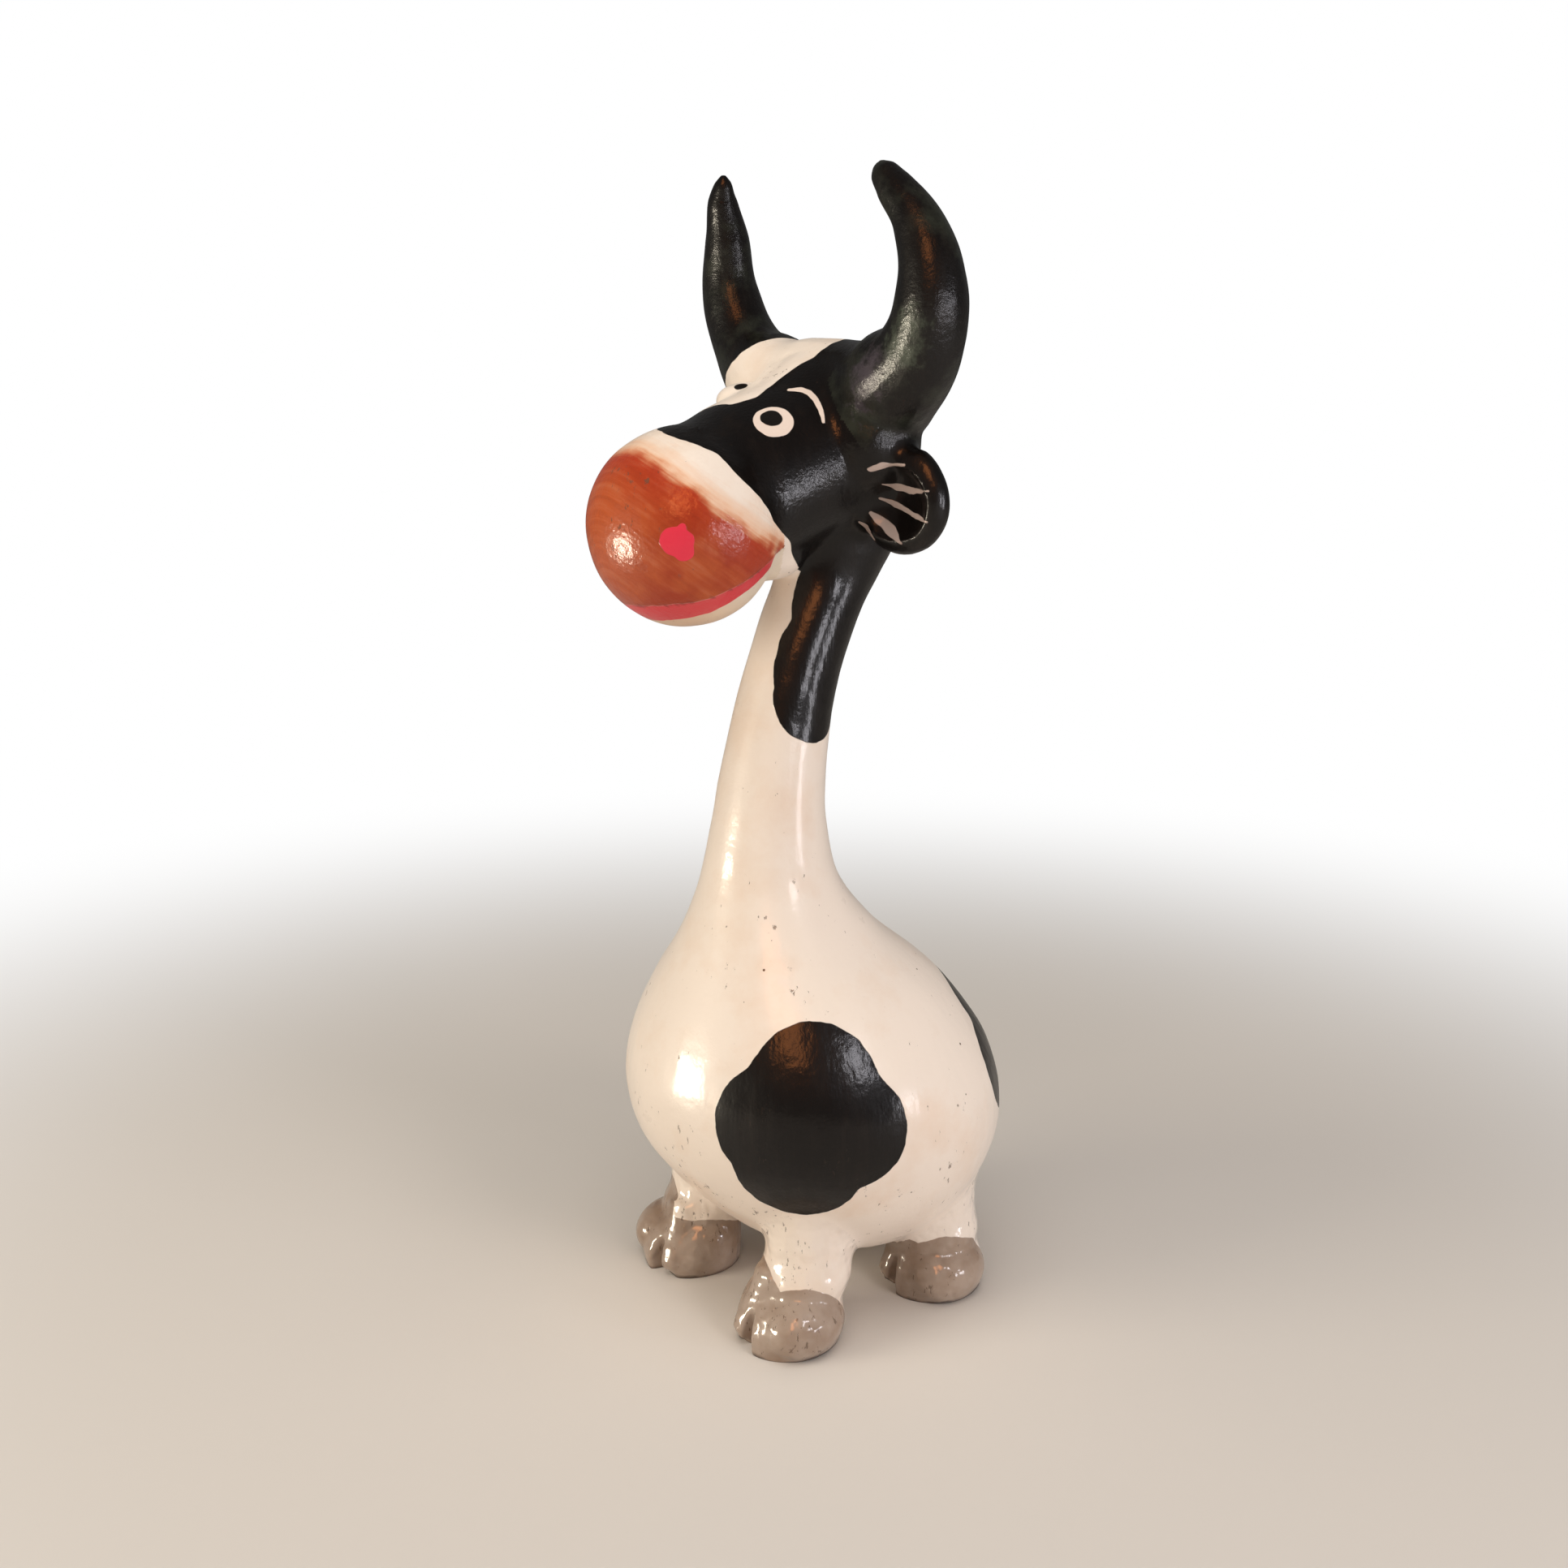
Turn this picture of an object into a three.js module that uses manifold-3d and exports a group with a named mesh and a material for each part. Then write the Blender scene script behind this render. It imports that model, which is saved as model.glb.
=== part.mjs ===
// A hand-built clay cow, painted and lacquered: a bottle-shaped body on four short legs with cloven hooves,
// a long neck, and a horned head with a round muzzle. The rolled and pressed pieces are luted to each other.
// Sizes are in millimetres. +Z is up, the head faces -Y and the cow's left side is +X.
import * as THREE from "three";
import { mergeVertices } from "three/addons/utils/BufferGeometryUtils.js";
import Module from "manifold-3d";

const wasm = await Module();
wasm.setup();
const { Manifold, Mesh: SolidMesh } = wasm;

// Clay seam: luted pieces lie this far apart, so each stays a piece of its own.
const SEAM = 0.3;

// Facets round each form, and how far a ring is squared up: 2 is a true ellipse.
const BOTTLE_SIDES = 40;
const HEAD_SIDES = 36;
const LEG_SIDES = 24;
const EAR_SIDES = 20;
const ROLL_SIDES = 16;
const SQUARED = 2.2;
const PINCHED = 1.6;

// Body bottle: belly and lower neck in one, leaning forward as it rises.
const BELLY_RADIUS = 52;
const BELLY_FLOOR = 12;
const BELLY_MIDDLE = 58;
const BELLY_LEAN = 15;
const NECK_RADIUS = 13;
const NECK_ROOT = 120;
const NECK_REACH = 14;
const NECK_SEAM = 149;

// Head: the skull's own frame sits at this point, pitched nose down.
const HEAD_HEIGHT = 232;
const HEAD_PITCH = 26;
const SKULL_HALF_WIDTH = 23.5;
const SKULL_HALF_DEPTH = 21.6;
const SKULL_REAR = 24;
const FACE_LENGTH = 28.5;
const MUZZLE_RADIUS = 24.8;
const MOUTH_STEP = 0.9;
const LIP_SAG = 0.5;
const LIP_REACH = 1;
const MOUTH_DROP = 13;
const MOUTH_FALL = 9;
const POLL_HALF_WIDTH = 20;
const POLL_REAR = 11.5;
const POLL_RISE = 13.2;
const POLL_RADIUS = 11.8;
const POLL_LEAN = 0.8;

// Horns: one shape for both, and the right one was drawn out taller and slimmer. Rise and lean are in the
// head's frame.
const HORN_SPREAD = 43.5;
const HORN_RISE = 60.4;
const HORN_LEAN = 25;
const HORN_ROOT_RADIUS = 14;
const HORN_MIDDLE_RADIUS = 8;
const HORN_TIP_RADIUS = 4.3;
const HORNS = [
  { name: "horn_left", side: 1, spread: 1, stretch: 1, girth: 1, curl: 0.3 },
  { name: "horn_right", side: -1, spread: 0.93, stretch: 1.085, girth: 0.95, curl: 0.22 },
];

// Ears: thick leaves pressed hollow on the front, swept to the rear and hanging a little.
const EAR_LENGTH = 23;
const EAR_HALF_HEIGHT = 14;
const EAR_HALF_THICKNESS = 6;
const EAR_SWEEP = 6;
const EAR_DROOP = 24;
const EAR_TWIST = -20;
const EAR_DROP = 8.8;
const EARS = [
  { name: "ear_left", side: 1 },
  { name: "ear_right", side: -1 },
];

// Legs: short stumps, each ending in two toes. A hoof is ahead of its ankle by its reach, and turned out
// a little by hand.
const STANCE_WIDTH = 50;
const STANCE_LENGTH = 50;
const ANKLE_RADIUS = 11.7;
const HOOF_HALF_WIDTH = 14.3;
const HOOF_HALF_LENGTH = 14.8;
const HOOF_HEIGHT = 17;
const FRONT_HOOF_REACH = 6.5;
const BACK_HOOF_REACH = 0;
const CLEFT_WIDTH = 8;
const CLEFT_DEPTH = 11;
const LEGS = [
  { name: "leg_front_left", x: 0.5, y: -0.5, reach: FRONT_HOOF_REACH, turn: 12 },
  { name: "leg_front_right", x: -0.5, y: -0.5, reach: FRONT_HOOF_REACH, turn: 0 },
  { name: "leg_back_left", x: 0.5, y: 0.5, reach: BACK_HOOF_REACH, turn: 5 },
  { name: "leg_back_right", x: -0.5, y: 0.5, reach: BACK_HOOF_REACH, turn: -5 },
];

// Tail: a thin roll of clay pressed on to the rump, with a tuft at its end.
const TAIL_TOP = 88;
const TAIL_END = 36;
const TAIL_RADIUS = 3;
const TUFT_RADIUS = 5.5;

const X = new THREE.Vector3(1, 0, 0);
const Y = new THREE.Vector3(0, 1, 0);
const Z = new THREE.Vector3(0, 0, 1);
const WIDE = 1000;
const radians = THREE.MathUtils.degToRad;

const cream = new THREE.MeshStandardMaterial({ color: 0xefe2d0, roughness: 0.35, metalness: 0 });
const black = new THREE.MeshStandardMaterial({ color: 0x1c1917, roughness: 0.3, metalness: 0 });
const terracotta = new THREE.MeshStandardMaterial({ color: 0xa24b24, roughness: 0.3, metalness: 0 });
const hoofGrey = new THREE.MeshStandardMaterial({ color: 0x9c8c7c, roughness: 0.3, metalness: 0 });

// Rows between the given stations, each column eased by a Catmull-Rom spline.
function easeStations(stations, steps) {
  const columns = stations[0].map(
    (_, k) => new THREE.SplineCurve(stations.map((row, i) => new THREE.Vector2(i, row[k]))),
  );
  const last = (stations.length - 1) * steps;
  return Array.from({ length: last + 1 }, (_, i) => columns.map((curve) => curve.getPoint(i / last).y));
}

// A ring round a centre in the plane of two axes, or the bare centre where it closes to a point.
// A power over 2 squares the ring up.
function ring(centre, axisA, halfA, axisB, halfB, count, power = 2) {
  if (halfA <= 0 || halfB <= 0) {
    return [centre];
  }
  const rounding = (value) => Math.sign(value) * Math.abs(value) ** (2 / power);
  return Array.from({ length: count }, (_, i) => {
    const angle = (2 * Math.PI * i) / count;
    return centre
      .clone()
      .addScaledVector(axisA, halfA * rounding(Math.cos(angle)))
      .addScaledVector(axisB, halfB * rounding(Math.sin(angle)));
  });
}

// A closed skin over a stack of rings. The axes of each ring turn right-handed round the way it climbs.
function loft(rings) {
  const vertices = [];
  const triangles = [];
  const starts = rings.map((points) => {
    const start = vertices.length;
    vertices.push(...points);
    return start;
  });
  const capRing = (points, start, facesUp) => {
    if (points.length === 1) {
      return;
    }
    const hub = vertices.length;
    const middle = points.reduce((sum, p) => sum.add(p), new THREE.Vector3()).divideScalar(points.length);
    vertices.push(middle);
    points.forEach((_, i) => {
      const next = (i + 1) % points.length;
      triangles.push(hub, start + (facesUp ? i : next), start + (facesUp ? next : i));
    });
  };
  for (let level = 0; level + 1 < rings.length; level += 1) {
    const low = rings[level];
    const high = rings[level + 1];
    const count = Math.max(low.length, high.length);
    for (let i = 0; i < count; i += 1) {
      const next = (i + 1) % count;
      const a = starts[level] + (low.length > 1 ? i : 0);
      const b = starts[level] + (low.length > 1 ? next : 0);
      const c = starts[level + 1] + (high.length > 1 ? next : 0);
      const d = starts[level + 1] + (high.length > 1 ? i : 0);
      if (a !== b) {
        triangles.push(a, b, c);
      }
      if (c !== d) {
        triangles.push(a, c, d);
      }
    }
  }
  capRing(rings[0], starts[0], false);
  capRing(rings.at(-1), starts.at(-1), true);
  const geometry = new THREE.BufferGeometry();
  const coordinates = vertices.flatMap((vertex) => vertex.toArray());
  geometry.setAttribute("position", new THREE.Float32BufferAttribute(coordinates, 3));
  geometry.setIndex(triangles);
  return geometry;
}

// Rings swept along a spine, square to it, with one of their axes held near a fixed direction. Past the
// share of the length where the tip starts, they close in an arc.
function sweep(spine, hold, sizes, steps, count, tipStart) {
  const rows = easeStations(sizes, steps);
  const lastRow = rows.length - 1;
  const shares = rows.map((_, i) => (tipStart * i) / lastRow);
  const tipShares = [0.4, 0.75, 0.94, 1].map((share) => tipStart + (1 - tipStart) * share);
  const rings = [...shares, ...tipShares].map((t, i) => {
    const [across, along] = rows[Math.min(i, lastRow)];
    const closing = t < 1 ? Math.sqrt(1 - Math.max(0, (t - tipStart) / (1 - tipStart)) ** 2) : 0;
    const tangent = spine.getTangent(t);
    const axisB = hold.clone().addScaledVector(tangent, -hold.dot(tangent)).normalize();
    const axisA = axisB.clone().cross(tangent).normalize();
    return ring(spine.getPoint(t), axisA, closing * across, axisB, closing * along, count);
  });
  return loft(rings);
}

// A solid to cut and join with, from a closed skin. A mirroring placement turns its faces round again.
function solid(skin, placement = new THREE.Matrix4()) {
  const placed = skin.clone().applyMatrix4(placement);
  placed.deleteAttribute("normal");
  placed.deleteAttribute("uv");
  const merged = mergeVertices(placed, 1e-4);
  const triVerts = new Uint32Array(merged.index.array);
  if (placement.determinant() < 0) {
    triVerts.reverse();
  }
  const vertProperties = merged.attributes.position.array;
  return new Manifold(new SolidMesh({ numProp: 3, vertProperties, triVerts }));
}

// A named mesh of a solid, with its own origin where the piece is placed.
function piece(name, body, material, place = new THREE.Vector3()) {
  const { vertProperties, triVerts } = body.getMesh();
  const geometry = new THREE.BufferGeometry();
  geometry.setAttribute("position", new THREE.BufferAttribute(vertProperties, 3));
  geometry.setIndex(new THREE.BufferAttribute(triVerts, 1));
  geometry.translate(-place.x, -place.y, -place.z);
  geometry.computeVertexNormals();
  const mesh = new THREE.Mesh(geometry, material);
  mesh.name = name;
  mesh.position.copy(place);
  return mesh;
}

// Everything between two planes square to one axis, as a block far wider than the cow.
function slab(axis, from, to) {
  const size = new THREE.Vector3(WIDE, WIDE, WIDE).setComponent(axis, to - from);
  const middle = new THREE.Vector3().setComponent(axis, (from + to) / 2);
  return solid(new THREE.BoxGeometry(size.x, size.y, size.z).translate(middle.x, middle.y, middle.z));
}

// Bottle: height, radius and shift to the rear of each ring, from the belly's underside up into the head.
function bottleStations() {
  const lower = BELLY_MIDDLE - BELLY_FLOOR;
  const upper = NECK_ROOT - BELLY_MIDDLE;
  const top = HEAD_HEIGHT - NECK_ROOT;
  return [
    [BELLY_FLOOR, 0, 0.62 * BELLY_LEAN],
    [BELLY_FLOOR + 0.035 * lower, 0.3 * BELLY_RADIUS, 0.62 * BELLY_LEAN],
    [BELLY_FLOOR + 0.18 * lower, 0.6 * BELLY_RADIUS, 0.6 * BELLY_LEAN],
    [BELLY_FLOOR + 0.5 * lower, 0.845 * BELLY_RADIUS, 0.38 * BELLY_LEAN],
    [BELLY_FLOOR + 0.83 * lower, 0.985 * BELLY_RADIUS, 0.13 * BELLY_LEAN],
    [BELLY_MIDDLE + 0.1 * upper, BELLY_RADIUS, -0.02 * NECK_REACH],
    [BELLY_MIDDLE + 0.32 * upper, 0.92 * BELLY_RADIUS, -0.18 * NECK_REACH],
    [BELLY_MIDDLE + 0.55 * upper, 0.75 * BELLY_RADIUS, -0.4 * NECK_REACH],
    [BELLY_MIDDLE + 0.77 * upper, 0.525 * BELLY_RADIUS, -0.76 * NECK_REACH],
    [NECK_ROOT, 1.46 * NECK_RADIUS, -NECK_REACH],
    [NECK_ROOT + 0.13 * top, 1.2 * NECK_RADIUS, -1.04 * NECK_REACH],
    [NECK_ROOT + 0.27 * top, 1.08 * NECK_RADIUS, -0.93 * NECK_REACH],
    [NECK_ROOT + 0.45 * top, NECK_RADIUS, -0.62 * NECK_REACH],
    [NECK_ROOT + 0.62 * top, NECK_RADIUS, -0.12 * NECK_REACH],
    [NECK_ROOT + 0.72 * top, 1.05 * NECK_RADIUS, 0.3 * NECK_REACH],
    [NECK_ROOT + 0.8 * top, 1.22 * NECK_RADIUS, 0.48 * NECK_REACH],
    [NECK_ROOT + 0.93 * top, 1.4 * NECK_RADIUS, 0.5 * NECK_REACH],
  ];
}

// The bottle, with its surface moved out by the growth.
function bottle(growth = 0, placement = undefined) {
  const rings = easeStations(bottleStations(), 2).map(([height, radius, shift], i) => {
    const centre = new THREE.Vector3(0, shift, height - (i < 2 ? growth : 0));
    const half = i > 0 ? radius + growth : 0;
    return ring(centre, X, half, Y, half, BOTTLE_SIDES);
  });
  return solid(loft(rings), placement);
}

// Skull and face, in the head's frame, running on into the muzzle: distance behind the frame's origin, half
// width, half depth and rise of each ring.
function face(growth = 0, placement = undefined) {
  const stations = [
    [-1.4 * FACE_LENGTH, 0.84, 0.93, 2.2],
    [-FACE_LENGTH, 0.88, 0.99, 2.2],
    [-0.55 * FACE_LENGTH, 0.93, 0.99, 1.8],
    [-0.2 * FACE_LENGTH, 1, 1, 1],
    [0.2 * SKULL_REAR, 1, 1.04, 1.5],
    [0.55 * SKULL_REAR, 0.92, 1.04, 1.5],
    [0.8 * SKULL_REAR, 0.7, 0.82, 1],
    [0.95 * SKULL_REAR, 0.42, 0.5, 0.5],
    [SKULL_REAR, 0, 0, 0],
  ];
  const rows = easeStations(stations, 3);
  const rings = rows.map(([behind, width, depth, rise], i) => {
    const last = i === rows.length - 1;
    const centre = new THREE.Vector3(0, behind + (last ? growth : 0), rise);
    const halfWidth = last ? 0 : width * SKULL_HALF_WIDTH + growth;
    const halfDepth = last ? 0 : depth * SKULL_HALF_DEPTH + growth;
    return ring(centre, Z, halfDepth, X, halfWidth, HEAD_SIDES, SQUARED);
  });
  return solid(loft(rings), placement);
}

// Muzzle, in the head's frame: a ball on the end of the face. Under the mouth the lower lip steps in.
function muzzle() {
  const middle = new THREE.Vector3(0, -(FACE_LENGTH + 0.56 * MUZZLE_RADIUS), 0.055 * MUZZLE_RADIUS);
  const ball = (radius, reach, sag) =>
    solid(new THREE.SphereGeometry(radius, 32, 20).translate(middle.x, middle.y - reach, middle.z - sag));
  const mouth = new THREE.Matrix4().makeRotationX(radians(-MOUTH_FALL));
  mouth.setPosition(0, middle.y, middle.z - MOUTH_DROP);
  const above = solid(new THREE.BoxGeometry(WIDE, WIDE, WIDE).translate(0, 0, WIDE / 2), mouth);
  const upperLip = ball(MUZZLE_RADIUS, 0, 0).intersect(above);
  const lowerLip = ball(MUZZLE_RADIUS - MOUTH_STEP, LIP_REACH, LIP_SAG);
  return upperLip.add(lowerLip).add(face()).intersect(slab(1, -WIDE, -FACE_LENGTH - SEAM));
}

// Poll, in the head's frame: the ridge from horn to horn over the crest, a little higher on the right.
function poll() {
  const spine = new THREE.CatmullRomCurve3(
    [-1, -0.4, 0.4, 1].map(
      (share) => new THREE.Vector3(share * POLL_HALF_WIDTH, POLL_REAR, POLL_RISE - share * POLL_LEAN),
    ),
  );
  const sizes = [0.98, 1, 1, 0.98].map((share) => [share * POLL_RADIUS, share * POLL_RADIUS]);
  return solid(sweep(spine, Y, sizes, 2, HEAD_SIDES, 0.97));
}

// Horn, in the head's frame: a tapering roll bent to a crescent, its root spread over the side of the crest
// and its tip rounded.
function horn({ side, spread, stretch, girth, curl }, growth = 0) {
  const reach = side * HORN_SPREAD * spread;
  const rise = HORN_RISE * stretch;
  const spine = new THREE.CatmullRomCurve3([
    new THREE.Vector3(0.3 * reach, 0.42 * HORN_LEAN, 0.09 * rise),
    new THREE.Vector3(0.55 * reach, 0.47 * HORN_LEAN, 0.2 * rise),
    new THREE.Vector3(0.87 * reach, 0.59 * HORN_LEAN, 0.35 * rise),
    new THREE.Vector3(reach, 0.76 * HORN_LEAN, 0.57 * rise),
    new THREE.Vector3(0.94 * reach, 0.91 * HORN_LEAN, 0.78 * rise),
    new THREE.Vector3((1 - curl) * reach, HORN_LEAN, rise),
  ]);
  const root = HORN_ROOT_RADIUS;
  const middle = HORN_MIDDLE_RADIUS * girth;
  const tip = HORN_TIP_RADIUS * girth ** 3;
  const radii = [0.9 * root, root, 0.4 * root + 0.6 * middle, 1.06 * middle, 0.5 * (middle + tip), tip];
  const roll = solid(sweep(spine, Y, radii.map((r) => [r + growth, r + growth]), 3, ROLL_SIDES, 0.94));
  const halfSpace = side > 0 ? slab(0, SEAM, WIDE) : slab(0, -WIDE, -SEAM);
  return roll.intersect(halfSpace);
}

// Ear, shaped with +X towards its tip and its hollow on -Y, then set against the side of the skull.
function ear(side) {
  const stations = [
    [-0.3 * EAR_LENGTH, 0.62, 0.9],
    [0, 0.8, 0.95],
    [0.3 * EAR_LENGTH, 1, 1],
    [0.6 * EAR_LENGTH, 0.95, 0.85],
    [0.85 * EAR_LENGTH, 0.66, 0.66],
    [0.97 * EAR_LENGTH, 0.32, 0.36],
    [EAR_LENGTH, 0, 0],
  ];
  const rows = easeStations(stations, 2);
  const rings = rows.map(([out, height, thickness], i) => {
    const open = i < rows.length - 1 ? 1 : 0;
    const halfThickness = open * thickness * EAR_HALF_THICKNESS;
    const halfHeight = open * height * EAR_HALF_HEIGHT;
    return ring(new THREE.Vector3(out, 0, 0), Y, halfThickness, Z, halfHeight, EAR_SIDES);
  });
  const bowl = new THREE.SphereGeometry(1, 20, 12)
    .scale(0.42 * EAR_LENGTH, 1.1 * EAR_HALF_THICKNESS, 0.7 * EAR_HALF_HEIGHT)
    .translate(0.44 * EAR_LENGTH, -EAR_HALF_THICKNESS, 0);
  const turn = new THREE.Euler(radians(EAR_TWIST), radians(EAR_DROOP), radians(EAR_SWEEP), "ZYX");
  const placement = new THREE.Matrix4().makeRotationFromEuler(turn);
  placement.setPosition(0.87 * SKULL_HALF_WIDTH, 0, -EAR_DROP);
  placement.premultiply(new THREE.Matrix4().makeScale(side, 1, 1));
  return solid(loft(rings), placement).subtract(solid(bowl, placement));
}

// The directions across and along a hoof that is turned to the cow's left.
function hoofAxes(turn) {
  return [X, Y].map((axis) => axis.clone().applyAxisAngle(Z, radians(turn)));
}

// Leg on its footprint: height, half width, half length and step to the rear of each ring, sole to belly.
function leg(foot, reach, turn) {
  const [across, along] = hoofAxes(turn);
  const pastern = 0.5 * (HOOF_HALF_WIDTH + ANKLE_RADIUS);
  const stations = [
    [0, 0.9 * HOOF_HALF_WIDTH, 0.9 * HOOF_HALF_LENGTH, 0],
    [0.1 * HOOF_HEIGHT, 0.95 * HOOF_HALF_WIDTH, 0.96 * HOOF_HALF_LENGTH, 0],
    [0.35 * HOOF_HEIGHT, HOOF_HALF_WIDTH, HOOF_HALF_LENGTH, 0],
    [0.7 * HOOF_HEIGHT, 0.98 * HOOF_HALF_WIDTH, 0.93 * HOOF_HALF_LENGTH, 0.25 * reach],
    [HOOF_HEIGHT, pastern, pastern, 0.75 * reach],
    [1.35 * HOOF_HEIGHT, ANKLE_RADIUS, ANKLE_RADIUS, reach],
    [1.8 * HOOF_HEIGHT, ANKLE_RADIUS, ANKLE_RADIUS, reach],
    [2.4 * HOOF_HEIGHT, 1.08 * ANKLE_RADIUS, 1.08 * ANKLE_RADIUS, reach],
  ];
  const rings = easeStations(stations, 2).map(([height, halfWidth, halfLength, step]) => {
    const centre = new THREE.Vector3(foot.x, foot.y + step, height);
    return ring(centre, across, halfWidth, along, halfLength, LEG_SIDES, SQUARED);
  });
  return solid(loft(rings));
}

// The wedge that parts the toes: it opens to the front and under the sole, and runs out up the hoof.
function cleft(foot, turn) {
  const [across, along] = hoofAxes(turn);
  const stations = [
    [-0.1 * HOOF_HEIGHT, 0.55 * CLEFT_WIDTH, 1.05 * CLEFT_DEPTH],
    [0.3 * HOOF_HEIGHT, 0.5 * CLEFT_WIDTH, 0.85 * CLEFT_DEPTH],
    [0.65 * HOOF_HEIGHT, 0.4 * CLEFT_WIDTH, 0.5 * CLEFT_DEPTH],
    [HOOF_HEIGHT, 0.25 * CLEFT_WIDTH, 0.25 * CLEFT_DEPTH],
  ];
  const rings = easeStations(stations, 2).map(([height, halfWidth, halfLength]) => {
    const centre = foot.clone().addScaledVector(along, -HOOF_HALF_LENGTH).setZ(height);
    return ring(centre, across, halfWidth, along, halfLength, ROLL_SIDES, PINCHED);
  });
  return solid(loft(rings));
}

// Tail: follows the rump down its middle.
function tail() {
  const rump = easeStations(bottleStations(), 3)
    .filter(([height]) => height > TAIL_END && height < TAIL_TOP)
    .map(([height, radius, shift]) => new THREE.Vector3(0, shift + radius, height))
    .reverse();
  const spine = new THREE.CatmullRomCurve3(rump);
  const sizes = [
    [0.5 * TAIL_RADIUS, 0.6 * TAIL_RADIUS],
    [TAIL_RADIUS, TAIL_RADIUS],
    [TAIL_RADIUS, TAIL_RADIUS],
    [0.9 * TAIL_RADIUS, 0.9 * TAIL_RADIUS],
    [0.75 * TUFT_RADIUS, TUFT_RADIUS],
    [0.5 * TUFT_RADIUS, 0.7 * TUFT_RADIUS],
  ];
  return solid(sweep(spine, X, sizes, 2, ROLL_SIDES, 0.93));
}

// Puts the cow together. Each piece is trimmed to the one that carries it.
function assemble() {
  const cow = new THREE.Group();
  cow.name = "cow";
  const whole = bottle();
  const grownBottle = bottle(SEAM);
  cow.add(piece("body", whole.intersect(slab(2, 0, NECK_SEAM)), cream));

  const head = new THREE.Group();
  head.name = "head";
  head.position.set(0, 0, HEAD_HEIGHT);
  head.rotation.x = radians(HEAD_PITCH);
  head.updateMatrix();
  const neck = whole.intersect(slab(2, NECK_SEAM + SEAM, WIDE)).subtract(face(SEAM, head.matrix));
  cow.add(piece("neck", neck, cream), head);

  // What the ears are set against, in the head's frame.
  const grownSkull = face(SEAM);
  const grownNeck = bottle(SEAM, head.matrix.clone().invert());
  const bothHorns = HORNS.map((shape) => horn(shape, SEAM)).reduce((all, one) => all.add(one));
  const skull = face().intersect(slab(1, -FACE_LENGTH, WIDE)).add(poll().subtract(bothHorns));
  head.add(piece("skull", skull, black), piece("muzzle", muzzle(), terracotta));
  HORNS.forEach((shape) => head.add(piece(shape.name, horn(shape).subtract(grownSkull), black)));
  EARS.forEach(({ name, side }) => {
    head.add(piece(name, ear(side).subtract(grownSkull).subtract(grownNeck).subtract(bothHorns), black));
  });

  LEGS.forEach(({ name, x, y, reach, turn }) => {
    const foot = new THREE.Vector3(x * STANCE_WIDTH, y * STANCE_LENGTH, 0);
    const stump = leg(foot, reach, turn).subtract(cleft(foot, turn)).subtract(grownBottle);
    cow.add(piece(name, stump, hoofGrey, foot));
  });
  cow.add(piece("tail", tail().subtract(grownBottle), black));

  // The cow stands on the table with the origin under the middle of its outline.
  const outline = new THREE.Box3().setFromObject(cow, true);
  const middle = outline.getCenter(new THREE.Vector3());
  cow.position.set(-middle.x, -middle.y, -outline.min.z);
  return cow;
}

export default assemble();
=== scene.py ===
import math
from types import SimpleNamespace

import bpy
from mathutils import Euler, Matrix, Vector
from mathutils.bvhtree import BVHTree


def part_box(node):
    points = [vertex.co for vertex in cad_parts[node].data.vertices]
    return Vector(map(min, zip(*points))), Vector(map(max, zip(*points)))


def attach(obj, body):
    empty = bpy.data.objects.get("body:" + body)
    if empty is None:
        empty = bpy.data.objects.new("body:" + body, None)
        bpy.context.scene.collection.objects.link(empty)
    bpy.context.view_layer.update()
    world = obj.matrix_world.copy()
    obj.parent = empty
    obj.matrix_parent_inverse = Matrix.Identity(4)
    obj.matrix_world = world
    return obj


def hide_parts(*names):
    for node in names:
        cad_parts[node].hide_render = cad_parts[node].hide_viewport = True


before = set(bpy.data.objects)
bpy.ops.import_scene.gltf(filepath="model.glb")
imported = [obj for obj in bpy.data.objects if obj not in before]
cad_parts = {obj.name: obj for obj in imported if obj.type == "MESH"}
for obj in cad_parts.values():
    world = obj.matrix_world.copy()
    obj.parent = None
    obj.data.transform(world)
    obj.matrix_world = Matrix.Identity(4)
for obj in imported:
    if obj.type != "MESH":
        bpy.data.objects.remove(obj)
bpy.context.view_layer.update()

# Every size below is in millimetres, and every place is in the frame of the CAD model: +Z is up, the head
# faces -Y and the cow's left side is +X.
MM = 0.001

# The bottle of belly and neck: height, half width, half length and step to the rear.
BOTTLE = [
    (12, 0.6, 0.6, 12.3), (13.6, 15.6, 15.6, 12.3), (20.3, 31.2, 31.2, 12), (35, 43.9, 43.9, 8.7),
    (50.2, 51.2, 51.2, 5), (64.2, 52, 52, 2.8), (77.8, 47.8, 47.8, 0.5), (92.1, 39, 39, -2.6),
    (105.7, 27.3, 27.3, -7.6), (120, 19, 19, -11), (134.6, 15.6, 15.6, -11.5), (150.2, 14, 14, -10),
    (170.4, 13, 13, -5.7), (189.4, 13, 13, 1.4), (200.6, 13.7, 13.7, 7.2), (209.6, 15.9, 15.9, 9.8),
    (224.2, 18.2, 18.2, 10),
]

# The height of the crack line, where the neck was set on the body.
NECK_SEAM = 149.15

# The head is modelled level, then pitched nose down by 26 degrees about this place.
HEAD = Matrix.Translation((0, 3.05 * MM, 232 * MM)) @ Matrix.Rotation(math.radians(26), 4, "X")

# Skull and face from the muzzle to the back of the head: how far behind the head's own middle, half width,
# half height, and how far it drops.
SKULL = [
    (-39.9, 19.9, 20.3, -2.2), (-28.5, 20.9, 21.6, -2.2), (-15.7, 22.1, 21.6, -1.8), (-5.7, 23.7, 21.8, -1),
    (4.8, 23.7, 22.7, -1.5), (13.2, 21.8, 22.7, -1.5), (19.2, 16.6, 17.8, -1), (22.8, 10, 10.9, -0.5),
    (24, 1, 1, 0),
]

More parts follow.
